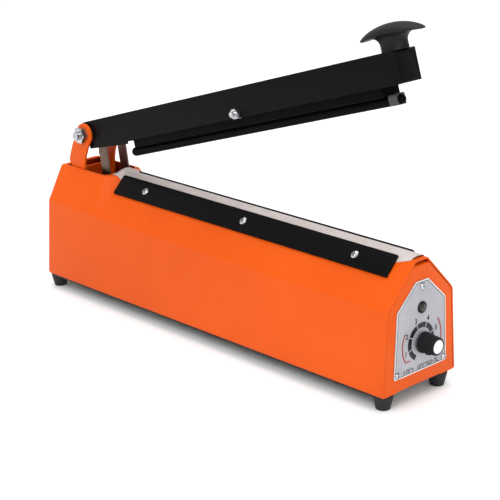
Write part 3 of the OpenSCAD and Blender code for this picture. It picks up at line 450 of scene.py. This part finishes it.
def combined(bm, others, operation="DIFFERENCE"):
    """The bmesh joined with, cut by or kept inside the other bmeshes, by exact booleans."""
    made = []
    for index, source in enumerate([bm, *others]):
        mesh = bpy.data.meshes.new(f"solid_{index}")
        source.to_mesh(mesh)
        source.free()
        made.append(bpy.data.objects.new(mesh.name, mesh))
        bpy.context.scene.collection.objects.link(made[-1])
    for other in made[1:]:
        modifier = made[0].modifiers.new("solid", "BOOLEAN")
        modifier.operation = operation
        modifier.solver = "EXACT"
        modifier.object = other
    bpy.context.view_layer.update()
    result = bmesh.new()
    result.from_object(made[0], bpy.context.evaluated_depsgraph_get())
    for thing in made:
        mesh = thing.data
        bpy.data.objects.remove(thing)
        bpy.data.meshes.remove(mesh)
    bmesh.ops.remove_doubles(result, verts=result.verts, dist=0.0005)
    bmesh.ops.dissolve_degenerate(result, edges=result.edges, dist=0.0005)
    return result


def thickened(bm, thickness):
    """A closed sheet made from an open outer skin by adding an inner skin and a rim."""
    bmesh.ops.recalc_face_normals(bm, faces=bm.faces)
    bm.normal_update()
    inner = {}
    for vert in list(bm.verts):
        depth = thickness * min(vert.calc_shell_factor(), 1.5)
        inner[vert] = bm.verts.new(vert.co - vert.normal * depth)
    for edge in [e for e in bm.edges if len(e.link_faces) == 1]:
        a, b = edge.link_loops[0].vert, edge.link_loops[0].link_loop_next.vert
        bm.faces.new((b, a, inner[a], inner[b]))
    for face in [f for f in bm.faces if all(v in inner for v in f.verts)]:
        bm.faces.new([inner[v] for v in reversed(face.verts)])
    return bm


def block(low_corner, high_corner):
    """A plain box, used as a cutter or a hidden web."""
    (x0, y0, z0), (x1, y1, z1) = low_corner, high_corner
    rings = [[(x, y0, z0), (x, y1, z0), (x, y1, z1), (x, y0, z1)] for x in (x0, x1)]
    return lofted(rings)


def inset(outline, amount):
    """A convex outline, listed anticlockwise, with each side moved inwards."""
    result = []
    for i, corner in enumerate(outline):
        here = Vector(corner)
        before = (here - Vector(outline[i - 1])).normalized()
        after = (Vector(outline[(i + 1) % len(outline)]) - here).normalized()
        sides = [Vector((-d.y, d.x)) for d in (before, after)]
        result.append(tuple(here + (sides[0] + sides[1]) * amount / (1 + sides[0].dot(sides[1]))))
    return result


def merged(parts):
    """One bmesh that holds several separate ones."""
    result = bmesh.new()
    for part in parts:
        mesh = bpy.data.meshes.new("part")
        part.to_mesh(mesh)
        part.free()
        result.from_mesh(mesh)
        bpy.data.meshes.remove(mesh)
    return result


# ---------------------------------------------------------------- sheet-steel case
def case_half(top_half, pulled_in):
    """Bottom edge, side fold and ridge corner of the case's far half, as (y, z)."""
    wall = Vector((FOLD_HALF - body_half, FOLD_Z - case_bottom)).normalized()
    slope = Vector((top_half - FOLD_HALF, case_top - FOLD_Z)).normalized()
    wall_in = Vector((-wall.y, wall.x))
    slope_in = Vector((-slope.y, slope.x))
    down = Vector((0, -1))
    bottom = Vector((body_half, case_bottom)) + pulled_in * wall_in
    fold = Vector((FOLD_HALF, FOLD_Z)) + pulled_in * (wall_in + slope_in) / (1 + wall_in.dot(slope_in))
    top = Vector((top_half, case_top)) + pulled_in * (slope_in + down) / (1 + slope_in.dot(down))
    bottom += wall * (case_bottom - bottom.y) / wall.y
    return bottom, fold, top, slope


def case_section(x, top_half, pulled_in=0.0, flange=FLANGE):
    """Open outline of the folded sheet with its turned-in flanges, as 3-D points at x."""
    bottom, fold, top, _ = case_half(top_half, pulled_in)
    half = [(bottom.x - flange, case_bottom), tuple(bottom), tuple(fold), tuple(top)]
    points = [(-y, z) for y, z in half] + half[::-1]
    bends = [0, 1.8, max(10 - pulled_in, 2), 2.5, 2.5, max(10 - pulled_in, 2), 1.8, 0]
    return [(x, y, z) for y, z in rounded(points, bends, 7, False)]


def make_shell():
    """Folded case: flat block round the hinge, soft taper to the narrow ridge, keyhole opening."""
    rings = []
    for turn in quarter_turn(8):
        x = rear_x + CORNER_RADIUS * (1 - math.cos(turn))
        pulled_in = CORNER_RADIUS * (1 - math.sin(turn))
        rings.append(case_section(x, BLOCK_HALF, pulled_in, FLANGE - pulled_in))
    rings.append(case_section(BLOCK_END - 14, BLOCK_HALF))
    taper_start = BLOCK_END - 1
    for k in range(13):
        t = k / 12
        top_half = BLOCK_HALF + (RIDGE_HALF - BLOCK_HALF) * smooth_step(t)
        rings.append(case_section(taper_start + t * (RIDGE_START - taper_start), top_half))
    length = front_x - 0.2 - RIDGE_START
    rings += [case_section(RIDGE_START + length * k / 12, RIDGE_HALF) for k in range(1, 13)]
    bm = lofted(rings, closed=False)
    bm.verts.ensure_lookup_table()
    bm.faces.new(bm.verts[:len(rings[0])])
    thickened(bm, SHEET)

    far_side = [
        (OPENING_REAR, OPENING_HALF), (BLOCK_END, OPENING_HALF),
        (BLOCK_END, SLOT_HALF), (SLOT_END, SLOT_HALF),
    ]
    near_side = [(x, -y) for x, y in far_side]
    bends = [1.5, 6.5, 1.2, 1.2]
    keyhole = rounded(near_side + far_side[::-1], bends + bends[::-1], 8)
    bm = combined(bm, [prism(keyhole, case_top - 8, case_top + 5, upright)])

    def by_keyhole(point):
        on_top = point.z > case_top - 0.05
        return on_top and abs(point.y) < OPENING_HALF + 0.4 and point.x > OPENING_REAR - 1.5

    def on_rim(edge):
        return all(by_keyhole(vert.co) for vert in edge.verts)

    soften(bm, 0.55, 3, on_rim, 50)
    piece("shell", bm, slots["case_shell"], "case", ["case_shell"])


CAP_INSET = 1.45
CAP_DROP = 2.7
CAP_SHEET = 1.4
CAP_DEPTH = 9.0


def make_end_cap():
    """Pressed end cap that sits inside the shell, below its arched front edge."""
    def ring(x, rounding):
        bottom, fold, top, slope = case_half(RIDGE_HALF, CAP_INSET + rounding)
        top = top - slope * CAP_DROP / slope.y
        half = [(bottom.x, case_bottom + rounding), tuple(fold), tuple(top)]
        points = half + [(-y, z) for y, z in half[::-1]]
        return [(x, y, z) for y, z in rounded(points, [1.5, 8.5, 2.5, 2.5, 8.5, 1.5], 8)]

    rings = [ring(front_x - CAP_DEPTH, 0)]
    for turn in quarter_turn(5):
        x = front_x - CAP_SHEET * (1 - math.sin(turn))
        rings.append(ring(x, CAP_SHEET * (1 - math.cos(turn))))
    bm = lofted(rings, caps=False)
    bm.verts.ensure_lookup_table()
    bm.faces.new(bm.verts[-len(rings[0]):])
    thickened(bm, CAP_SHEET)
    piece("end_cap", bm, slots["timer_end_plate"], "case", ["timer_end_plate"])


# ---------------------------------------------------------------- nameplate, dial and lamp
PLATE_THICK = 0.8
PRINT_RISE = 0.05
print_start = front_x + PLATE_THICK
print_end = print_start + PRINT_RISE
knob_z = (low("pot_nut").z + high("pot_nut").z) / 2
lamp_z = (low("lamp_holder").z + high("lamp_holder").z) / 2


def dial(radius, clock):
    """Point at a clock angle round the knob, as (y, z)."""
    turn = math.radians(clock)
    return radius * math.sin(turn), knob_z + radius * math.cos(turn)


def arc_print(inner, outer, start, end):
    """Outline of a curved bar between two radii and two clock angles."""
    steps = max(2, int((end - start) / 4))
    angles = [start + (end - start) * k / steps for k in range(steps + 1)]
    return [dial(outer, a) for a in angles] + [dial(inner, a) for a in angles[::-1]]


def printed(outline):
    """Print on the nameplate, as a thin raised layer."""
    return prism(outline, print_start, print_end, facing_front)


def printed_frame(outer, inner):
    """Printed line between two outlines with equal numbers of points."""
    loops = [(outer, print_start), (outer, print_end), (inner, print_end), (inner, print_start)]
    loops.append(loops[0])
    bm = lofted([[facing_front(y, z, x) for y, z in outline] for outline, x in loops], caps=False)
    bmesh.ops.remove_doubles(bm, verts=bm.verts, dist=0.00001)
    bmesh.ops.recalc_face_normals(bm, faces=bm.faces)
    return bm


def digit(text, size, y, z):
    """A figure on the dial, centred on (y, z)."""
    curve = bpy.data.curves.new("figure", "FONT")
    curve.body = text
    curve.size = size
    curve.align_x = "CENTER"
    curve.align_y = "CENTER"
    curve.extrude = PRINT_RISE / 2
    curve.offset = 0.16
    thing = bpy.data.objects.new("figure", curve)
    bpy.context.scene.collection.objects.link(thing)
    bpy.context.view_layer.update()
    bm = bmesh.new()
    bm.from_mesh(thing.evaluated_get(bpy.context.evaluated_depsgraph_get()).to_mesh())
    bpy.data.objects.remove(thing)
    middle = print_start + PRINT_RISE / 2
    place = Matrix(((0, 0, 1, middle), (1, 0, 0, y), (0, 1, 0, z), (0, 0, 0, 1)))
    bmesh.ops.transform(bm, matrix=place, verts=bm.verts)
    return bm


def lettering_mark(y, z, width, tall):
    """Generic mark of a few strokes that stands for one printed letter."""
    stroke = 0.62
    bars = [(y, z, stroke, tall)]
    if random.random() > 0.4:
        bars.append((y + width - stroke, z, stroke, tall))
    for level in random.sample((0, (tall - stroke) / 2, tall - stroke), random.choice((1, 2))):
        bars.append((y, z + level, width, stroke))
    return [printed([(a, b), (a + w, b), (a + w, b + h), (a, b + h)]) for a, b, w, h in bars]


def make_nameplate():
    """Silver plate with a white rim, a black dial, generic lettering marks and two red arcs."""
    bottom_half = body_half - 12
    fold_half = FOLD_HALF - 9.85
    corners = [
        (-bottom_half, case_bottom + 11), (bottom_half, case_bottom + 11), (fold_half, FOLD_Z - 4.5),
        (7, case_top - 16.5), (-7, case_top - 16.5), (-fold_half, FOLD_Z - 4.5),
    ]
    bends = [2, 2, 3, 1.5, 1.5, 3]

    def outline(amount):
        return rounded(inset(corners, amount), [max(0.4, r - amount) for r in bends])

    plate = soften(prism(outline(0), front_x, front_x + PLATE_THICK, facing_front), 0.15, 2)
    piece("nameplate_sheet", plate, slots["nameplate"], "case", ["nameplate"], silver)
    rim = printed_frame(outline(0.2), outline(0.85))
    piece("nameplate_rim", rim, "white_plastic", "case")

    black = [printed_frame(outline(1.15), outline(1.6))]
    gaps = [205, 250, 295, 340, 385, 430, 475, 515]
    black += [printed(arc_print(11.0, 15.2, a + 2, b - 2)) for a, b in zip(gaps, gaps[1:])]
    for number, clock in enumerate(gaps[1:-1], 1):
        black.append(digit(str(number), 5.6, *dial(18.4, clock)))
    word_space = 4
    for cell in range(13):
        if cell != word_space:
            black += lettering_mark(-19.5 + 3.2 * cell, 26.0, 2.4, 3.3)
    piece("nameplate_black_print", merged(black), "black_plastic", "case", (), black_ink)

    red = [printed(arc_print(20.9, 22.2, 235, 300)), printed(arc_print(22.8, 24.1, 54, 120))]
    foot_y, foot_z = dial(21.45, 235)
    red.append(printed([(foot_y - 0.4, foot_z - 0.7), (foot_y + 5.6, foot_z - 0.7),
                        (foot_y + 5.6, foot_z + 0.2), (foot_y - 0.4, foot_z + 0.2)]))
    piece("nameplate_red_print", merged(red), "black_plastic", "case", (), red_ink)


def make_knob():
    """Fluted knob with a base flange, a pointer nib and a white disc in its end."""
    start = print_start + 2.4
    flutes = 22
    per_flute = 8
    count = flutes * per_flute

    def ring(radius, depth, groove):
        points = []
        for i in range(count):
            turn = 2 * math.pi * i / count
            r = radius - groove * max(0, math.cos(flutes * turn)) ** 0.7
            points.append((start + depth, r * math.cos(turn), knob_z + r * math.sin(turn)))
        return points

    rings = [ring(6.5, 0, 0), ring(8.3, 0, 0), ring(8.5, 0.25, 0), ring(8.5, 1.5, 0), ring(8.2, 1.8, 0)]
    rings += [ring(8.05 - 0.85 * t, 1.9 + 11.6 * t, 0.5) for t in (0, 0.25, 0.5, 0.75, 1)]
    rings += [ring(7.1, 14.0, 0.35), ring(6.8, 14.4, 0.12), ring(6.4, 14.6, 0)]
    rings += [ring(5.75, 14.6, 0), ring(5.6, 14.4, 0), ring(5.5, 13.8, 0)]
    knob = lofted(rings)

    def beside_knob(u, v, d):
        return start + u, d, knob_z + v

    nib_side = [(2.5, -7.2), (2.5, -9.4), (6.8, -9.1), (7.6, -8.4), (7.6, -7.0)]
    nib = prism(nib_side, -0.65, 0.65, beside_knob)
    soften(nib, 0.2, 2)
    piece("knob_body", merged([knob, nib]), slots["timer_knob"], "knob", ["timer_knob"], crease=28)
    cap_profile = [(5.35, 13.7), (5.4, 14.45), (5.25, 14.7), (4.9, 14.85), (2.5, 14.95), (0.4, 14.98)]
    cap = lathed(cap_profile, lambda u, v, d: (start + d, u, knob_z + v), 64)
    piece("knob_disc", cap, slots["knob_cap"], "knob", ["knob_cap"])


def make_lamp():
    """Indicator lens under a low dome, in a rolled bezel."""
    lens_radius = 3.7

    def place(u, v, d):
        return print_start + d, u, lamp_z + v

    rolled = [(4.1, -2), (4.1, 0), (4.75, 0), (4.8, 0.5), (4.55, 1.0), (4.1, 1.15), (3.75, 0.9)]
    bezel = lathed([*rolled, (lens_radius, 0.3)], place, 64)
    dome = [(lens_radius * math.cos(a), 0.5 + 1.5 * math.sin(a)) for a in quarter_turn(10)[:-1]]
    lens = lathed([(lens_radius, 0.31), *dome], place, 64)
    piece("lamp_bezel", bezel, "black_plastic", "case")
    piece("lamp_dome", lens, slots["lamp_lens"], "case", ["lamp_lens"])


# ---------------------------------------------------------------- arm, grip and lip, in the arm's frame
ARM_HALF = 14.0
ARM_SHEET = 1.6
ARM_ABOVE = 10.8
ARM_BELOW = 13.7
ARM_REAR_BELOW = 16.2
ARM_REACH = 378.5
WALL_STEP = 54.0


def arm_outline(pulled_in, extra):
    """Side view of the arm: rounded rear end, deeper walls near the hinge, rounded front corner."""
    radius = ARM_ABOVE - pulled_in
    front = ARM_REACH - pulled_in
    rear = [(-radius * math.sin(a), radius * math.cos(a)) for a in (math.pi * k / 24 for k in range(25))]
    rest = rounded([
        (0.01, -ARM_BELOW - extra), (WALL_STEP, -ARM_REAR_BELOW - extra), (WALL_STEP, -ARM_BELOW - extra),
        (front, -ARM_BELOW - extra), (front, radius), (0, radius),
    ], [0, 1, 1, 1.5, 3 - pulled_in, 0], 6, False)
    return rear + rest[:-1]


def make_arm():
    """Channel of folded sheet with a closed front end, whose tabs leave two fine slits."""
    solid = prism(arm_outline(0, 0), -ARM_HALF, ARM_HALF, across)
    plan = rounded([
        (-20, -ARM_HALF - 1), (-20, ARM_HALF + 1), (0, ARM_HALF + 1), (0, ARM_HALF),
        (ARM_REACH, ARM_HALF), (ARM_REACH, -ARM_HALF), (0, -ARM_HALF), (0, -ARM_HALF - 1),
    ], [0, 0, 0, 0, 3.6, 3.6, 0, 0], 8)
    solid = combined(solid, [prism(plan, -30, 20, upright)], "INTERSECT")

    def top_edge(edge):
        middle = (edge.verts[0].co + edge.verts[1].co) / 2
        return middle.z > ARM_ABOVE - 3.2 or (middle.x < 0 and abs(middle.y) > ARM_HALF - 0.1)

    soften(solid, 1.7, 4, top_edge, 40)
    cutters = [prism(arm_outline(ARM_SHEET, 4), -ARM_HALF + ARM_SHEET, ARM_HALF - ARM_SHEET, across)]
    for side in (-1, 1):
        y = side * (ARM_HALF - 4.4)
        cutters.append(block((ARM_REACH - 2.6, y - 0.25, -20), (ARM_REACH + 1, y + 0.25, ARM_ABOVE - 4.2)))
    arm = combined(solid, cutters)
    soften(arm, 0.22, 2, lambda e: all(abs(v.co.x - ARM_REACH) < 0.02 for v in e.verts), 60)
    piece("arm_body", arm, slots["arm_channel"], "arm", ["arm_channel"], local=to_arm)


GRIP_ALONG = ARM_REACH - 8.5
GRIP_LENGTH = 61.0
GRIP_WIDTH = 27.0
GRIP_HEIGHT = 20.3
STEM_LENGTH = 22.0
STEM_WIDTH = 15.0
STEM_POWER = 0.75
WAIST = 4.6
UNDER = 12.4
RIM = 0.9
DROOP = 2.2
FLARE = (GRIP_LENGTH - STEM_LENGTH) / 2


def oval(length, width, power, z, droop, count=72):
    """Level ring of the grip: an ellipse at power 1, squarer below it; its long ends droop."""
    ring = []
    for i in range(count):
        c, s = math.cos(2 * math.pi * i / count), math.sin(2 * math.pi * i / count)
        x = math.copysign(abs(c) ** power, c) * length / 2
        y = math.copysign(abs(s) ** power, s) * width / 2
        ring.append((GRIP_ALONG + x, y, ARM_ABOVE + z - droop * (2 * x / GRIP_LENGTH) ** 2))
    return ring


def make_grip():
    """Palm grip: squarish stem that flares into a domed oval head with drooping ends."""
    dome = GRIP_HEIGHT - UNDER - RIM
    rings = [
        oval(STEM_LENGTH + 0.6, STEM_WIDTH + 0.6, STEM_POWER, -0.1, 0),
        oval(STEM_LENGTH, STEM_WIDTH, STEM_POWER, 0.3, 0),
        oval(STEM_LENGTH, STEM_WIDTH, STEM_POWER, WAIST, 0),
    ]
    for k, turn in enumerate(quarter_turn(14)[1:], 1):
        spread = FLARE * (1 - math.cos(turn))
        power = STEM_POWER + (1 - STEM_POWER) * k / 14
        height = WAIST + (UNDER - WAIST) * math.sin(turn)
        droop = DROOP * math.sin(turn)
        rings.append(oval(STEM_LENGTH + spread, STEM_WIDTH + spread / 2, power, height, droop))
    edge_z = UNDER + 0.2
    rings.append(oval(GRIP_LENGTH - 2.6, GRIP_WIDTH - 1.6, 1, edge_z, DROOP))
    rings.append(oval(GRIP_LENGTH - 0.9, GRIP_WIDTH - 0.5, 1, edge_z + 0.25, DROOP))
    for k in range(18):
        turn = math.radians(4 + 84 * k / 17)
        fade = min(1, (17 - k) / 3)
        z = UNDER + RIM + dome * math.sin(turn) ** 1.4
        rings.append(oval(GRIP_LENGTH * math.cos(turn), GRIP_WIDTH * math.cos(turn), 1, z, DROOP * fade))
    piece("grip", lofted(rings), slots["palm_grip"], "arm", ["palm_grip"], local=to_arm, crease=50)


LIP_RADIUS = 4.0
LIP_CENTRE = -24.6
LIP_REAR = 42.6
LIP_CLIP = 365.0
LIP_TIP = 369.0
TIP_RADIUS = 2.9
TIP_ROUND = 1.4
HOLDER_REAR = 59.0
HOLDER_FRONT = 356.8


def make_lip():
    """Round silicone lip with a domed rear end and a thinner tip beyond its clip."""
    def place(u, v, d):
        return d, u, LIP_CENTRE + v

    profile = []
    for a in quarter_turn(8)[1:]:
        profile.append((LIP_RADIUS * math.sin(a), LIP_REAR + LIP_RADIUS * (1 - math.cos(a))))
    profile += [(LIP_RADIUS, 200), (LIP_RADIUS, LIP_CLIP)]
    profile += [(3.6, LIP_CLIP + 0.6), (TIP_RADIUS, LIP_CLIP + 0.8)]
    for a in quarter_turn(6)[:-1]:
        profile.append((TIP_RADIUS * math.cos(a), LIP_TIP - TIP_ROUND * (1 - math.sin(a))))
    bead = lathed(profile, place)
    web = block((HOLDER_REAR, -2, LIP_CENTRE + 1), (HOLDER_FRONT, 2, -20.4))
    foot = block((HOLDER_REAR, -4.2, -18.8), (HOLDER_FRONT, 4.2, -16.8))
    lip = merged([bead, web, foot])
    piece("lip", lip, slots["silicone_lip"], "press_bar", ["silicone_lip"], local=to_arm)


# ---------------------------------------------------------------- return spring and hinge bracket
def make_spring():
    """Return spring between its post's flange and the yoke, as one fixed coil that rides on the yoke."""
    wire = 0.8
    radius = 6.5
    turns = 10
    per_turn = 28
    bottom = low("return_spring").z + wire
    top = high("return_spring").z - wire
    middle_x = (low("return_spring").x + high("return_spring").x) / 2
    rings = []
    for k in range(turns * per_turn + 1):
        turn = 2 * math.pi * k / per_turn
        z = bottom + (top - bottom) * k / (turns * per_turn)
        ring = []
        for i in range(10):
            side = 2 * math.pi * i / 10
            r = radius + wire * math.cos(side)
            ring.append((middle_x + r * math.cos(turn), r * math.sin(turn), z + wire * math.sin(side)))
        rings.append(ring)
    spring = piece("spring_coil", lofted(rings), slots["return_spring"], "yoke", ["return_spring"])
    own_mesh(spring)


def make_bracket():
    """Two leaning ears with rounded tops and narrow waists, joined by an upright web at the rear."""
    metal_thick = 2.5
    ear_radius = 10.0
    ear_inner = ARM_HALF + 1.6
    ear_outer = ear_inner + metal_thick
    base = low("hinge_bracket").z
    turns = [math.radians(172 - 190 * k / 24) for k in range(25)]
    top = [(ear_radius * math.cos(a), ear_radius * math.sin(a)) for a in turns]
    down = base - hinge.z
    lower = rounded([
        top[-1], (4.6, -11.5), (0.6, -21), (-0.8, -29), (-0.8, -60), (10, down + 30),
        (20, down), (-18.8, down), (-18.8, -31.5), (-23.4, -28.0), (-17.2, -12.0), top[0],
    ], [0, 12, 14, 6, 8, 6, 0, 0, 4, 4.5, 20, 0], 6, False)[1:-1]
    outline = [(hinge.x + u, hinge.z + v) for u, v in top + lower]
    parts = []
    for side in (-1, 1):
        ear = prism(outline, side * ear_inner, side * ear_outer, across)
        parts.append(soften(ear, 0.5, 3, lambda e: True, 60))
    web_front = rear_x + 17.5
    lap = ear_inner + 0.5
    web = block((web_front - metal_thick, -lap, base), (web_front, lap, case_top - 4))
    parts.append(soften(web, 0.6, 2))
    for side in (-1, 1):
        inner_y, outer_y = sorted((side * lap, side * high("hinge_bracket").y))
        foot = block((web_front, inner_y, base), (hinge.x + 16, outer_y, base + metal_thick))
        parts.append(soften(foot, 0.5, 2))
    piece("bracket", merged(parts), slots["hinge_bracket"], "case", ["hinge_bracket"])


# ---------------------------------------------------------------- sealing bed
BED_TOP = high("bed_bar").z
WIRE_TOP = high("heating_wire").z
CLOTH_THICK = 0.3
CLOTH_REAR = low("ptfe_cloth").x
CLOTH_FRONT = high("ptfe_cloth").x
STRIP_REAR = low("clamp_strip_near").x
STRIP_FRONT = high("clamp_strip_near").x
STRIP_WIDTH = 19.5
STRIP_THICK = 2.0
TUCK = 5.5
TUCK_PAST_STRIPS = 0.5
LOOSE_END = 12.5


def cloth_section(x, free):
    """Under side of the cloth across the bed at x: free is 0 between the strips, 1 at the loose end."""
    rise = 0.04
    ridge_z = case_top + rise
    bar_z = BED_TOP + rise
    tape_z = bar_z + 0.3
    tuck = TUCK + (TUCK_PAST_STRIPS - TUCK) * share((x - STRIP_FRONT) / 12)
    slope = Vector((FOLD_HALF - RIDGE_HALF, FOLD_Z - case_top)).normalized()
    foot = Vector((RIDGE_HALF, ridge_z)) + slope * tuck
    flat_foot = Vector((RIDGE_HALF + TUCK, ridge_z))
    half = [
        tuple(foot.lerp(flat_foot, free)), (RIDGE_HALF, ridge_z), (5.5, bar_z),
        (4.7, tape_z), (1.7, tape_z), (1.3, WIRE_TOP + rise),
    ]
    bends = [0, 1.6, 0.5, 0.3, 0.3, 0.3]
    outline = rounded(half + [(-y, z) for y, z in half[::-1]], bends + bends[::-1], 3, False)
    bulge = 2.9 * math.exp(-((x - CLOTH_REAR - 4.6) / 3.0) ** 2) * free
    narrowing = 1 + 0.02 * free
    ring = []
    for y, z in outline:
        lift = bulge * max(0, 1 - (y / 12.6) ** 2) ** 0.8
        ring.append((x, y / narrowing, z + lift))
    return ring


def make_cloth():
    """Cloth stretched over the bed, with a raised loose end behind the strips."""
    held_rear = CLOTH_REAR + LOOSE_END
    stations = [CLOTH_REAR + LOOSE_END * k / 26 for k in range(26)]
    stations += [held_rear + (CLOTH_FRONT - held_rear) * k / 60 for k in range(61)]
    rings = [cloth_section(x, smooth_step(share((held_rear - x) / 7))) for x in stations]
    bm = lofted(rings, closed=False)
    bmesh.ops.recalc_face_normals(bm, faces=bm.faces)
    bm.normal_update()
    if sum(f.normal.z for f in bm.faces) < 0:
        bmesh.ops.reverse_faces(bm, faces=bm.faces)
    bm.normal_update()
    for vert in bm.verts:
        vert.co += vert.normal * CLOTH_THICK
    thickened(bm, CLOTH_THICK)
    section = cloth_section(0, 0)
    cloth = piece("cloth_sheet", bm, slots["ptfe_cloth"], "case", ["ptfe_cloth"], crease=60)


def make_strips():
    """Clamp strips lying on both slopes, with softly rounded edges."""
    clearance = 0.34
    slope = Vector((RIDGE_HALF - FOLD_HALF, case_top - FOLD_Z))
    upper = slope.length
    lower = upper - STRIP_WIDTH
    up = slope.normalized()
    out = Vector((up.y, -up.x))
    corners = [(STRIP_REAR, lower), (STRIP_FRONT, lower), (STRIP_FRONT, upper), (STRIP_REAR, upper)]
    outline = rounded(corners, [1, 1, 1, 2.2])
    for name, side in (("near", -1), ("far", 1)):
        def place(u, v, d, side=side):
            point = Vector((FOLD_HALF, FOLD_Z)) + up * v + out * d
            return u, side * point.x, point.y

        strip = soften(prism(outline, clearance, clearance + STRIP_THICK, place), 0.45, 3, angle=60)
        piece(f"strip_{name}", strip, slots[f"clamp_strip_{name}"], "case", [f"clamp_strip_{name}"])


make_shell()
make_end_cap()
make_nameplate()
make_knob()
make_lamp()
make_arm()
make_grip()
make_lip()
make_spring()
make_bracket()
make_cloth()
make_strips()


# ---------------------------------------------------------------- camera, light and floor
CAMERA_PLACE = Vector((898.5, -842.9, 489.6)) * MM
CAMERA_AZIMUTH = math.radians(46.19)
CAMERA_PITCH = math.radians(18.70)
CAMERA_ROLL = math.radians(-0.84)
CAMERA_LENS = 111.3


def make_camera():
    """Camera at the photograph's viewing angle."""
    back = Vector((
        math.sin(CAMERA_AZIMUTH) * math.cos(CAMERA_PITCH),
        -math.cos(CAMERA_AZIMUTH) * math.cos(CAMERA_PITCH),
        math.sin(CAMERA_PITCH),
    ))
    level = Vector((0, 0, 1)).cross(back).normalized()
    upright = back.cross(level)
    right = level * math.cos(CAMERA_ROLL) + upright * math.sin(CAMERA_ROLL)
    up = upright * math.cos(CAMERA_ROLL) - level * math.sin(CAMERA_ROLL)
    data = bpy.data.cameras.new("camera")
    data.lens = CAMERA_LENS
    data.sensor_width = 36
    camera = bpy.data.objects.new("camera", data)
    turn = Matrix((right, up, back)).transposed().to_4x4()
    camera.matrix_world = Matrix.Translation(CAMERA_PLACE) @ turn
    bpy.context.scene.collection.objects.link(camera)
    bpy.context.scene.camera = camera


def area_light(name, place, target, size, power):
    """Soft rectangular light that points at target."""
    data = bpy.data.lights.new(name, "AREA")
    data.shape = "RECTANGLE"
    data.size, data.size_y = size
    data.energy = power
    light = bpy.data.objects.new(name, data)
    light.location = place
    light.rotation_euler = (Vector(target) - Vector(place)).to_track_quat("-Z", "Y").to_euler()
    bpy.context.scene.collection.objects.link(light)


def make_studio():
    """Even white surroundings, soft lights and a pale floor."""
    world = bpy.data.worlds.new("studio")
    bpy.context.scene.world = world
    world.use_nodes = True
    background = world.node_tree.nodes["Background"]
    background.inputs["Color"].default_value = (1, 1, 1, 1)
    background.inputs["Strength"].default_value = 0.68
    bpy.context.scene.view_settings.view_transform = "Standard"
    area_light("key", (0.5, -1.6, 1.5), (0, 0, 0.1), (1.6, 1.0), 22)
    area_light("front", (1.9, -0.4, 0.9), (0.1, 0, 0.1), (1.0, 1.2), 10)
    area_light("top", (-0.2, 0.3, 1.9), (0, 0, 0.1), (1.8, 1.2), 12)
    sky = bpy.data.lights.new("overhead", "SUN")
    sky.energy = 0.9
    sky.angle = 1.1
    bpy.context.scene.collection.objects.link(bpy.data.objects.new("overhead", sky))
    bpy.ops.mesh.primitive_plane_add(size=14)
    floor = bpy.context.object
    floor.name = "floor"
    n = Nodes("floor")
    n.set(Specular_IOR_Level=0.2)
    floor.data.materials.append(n.finish(
        color=n.mix(n.noise(3), (0.93, 0.93, 0.93), (0.95, 0.95, 0.95)),
        rough=n.ramp(n.noise(40), 0, 1, 0.6, 0.7),
    ))


make_camera()
make_studio()
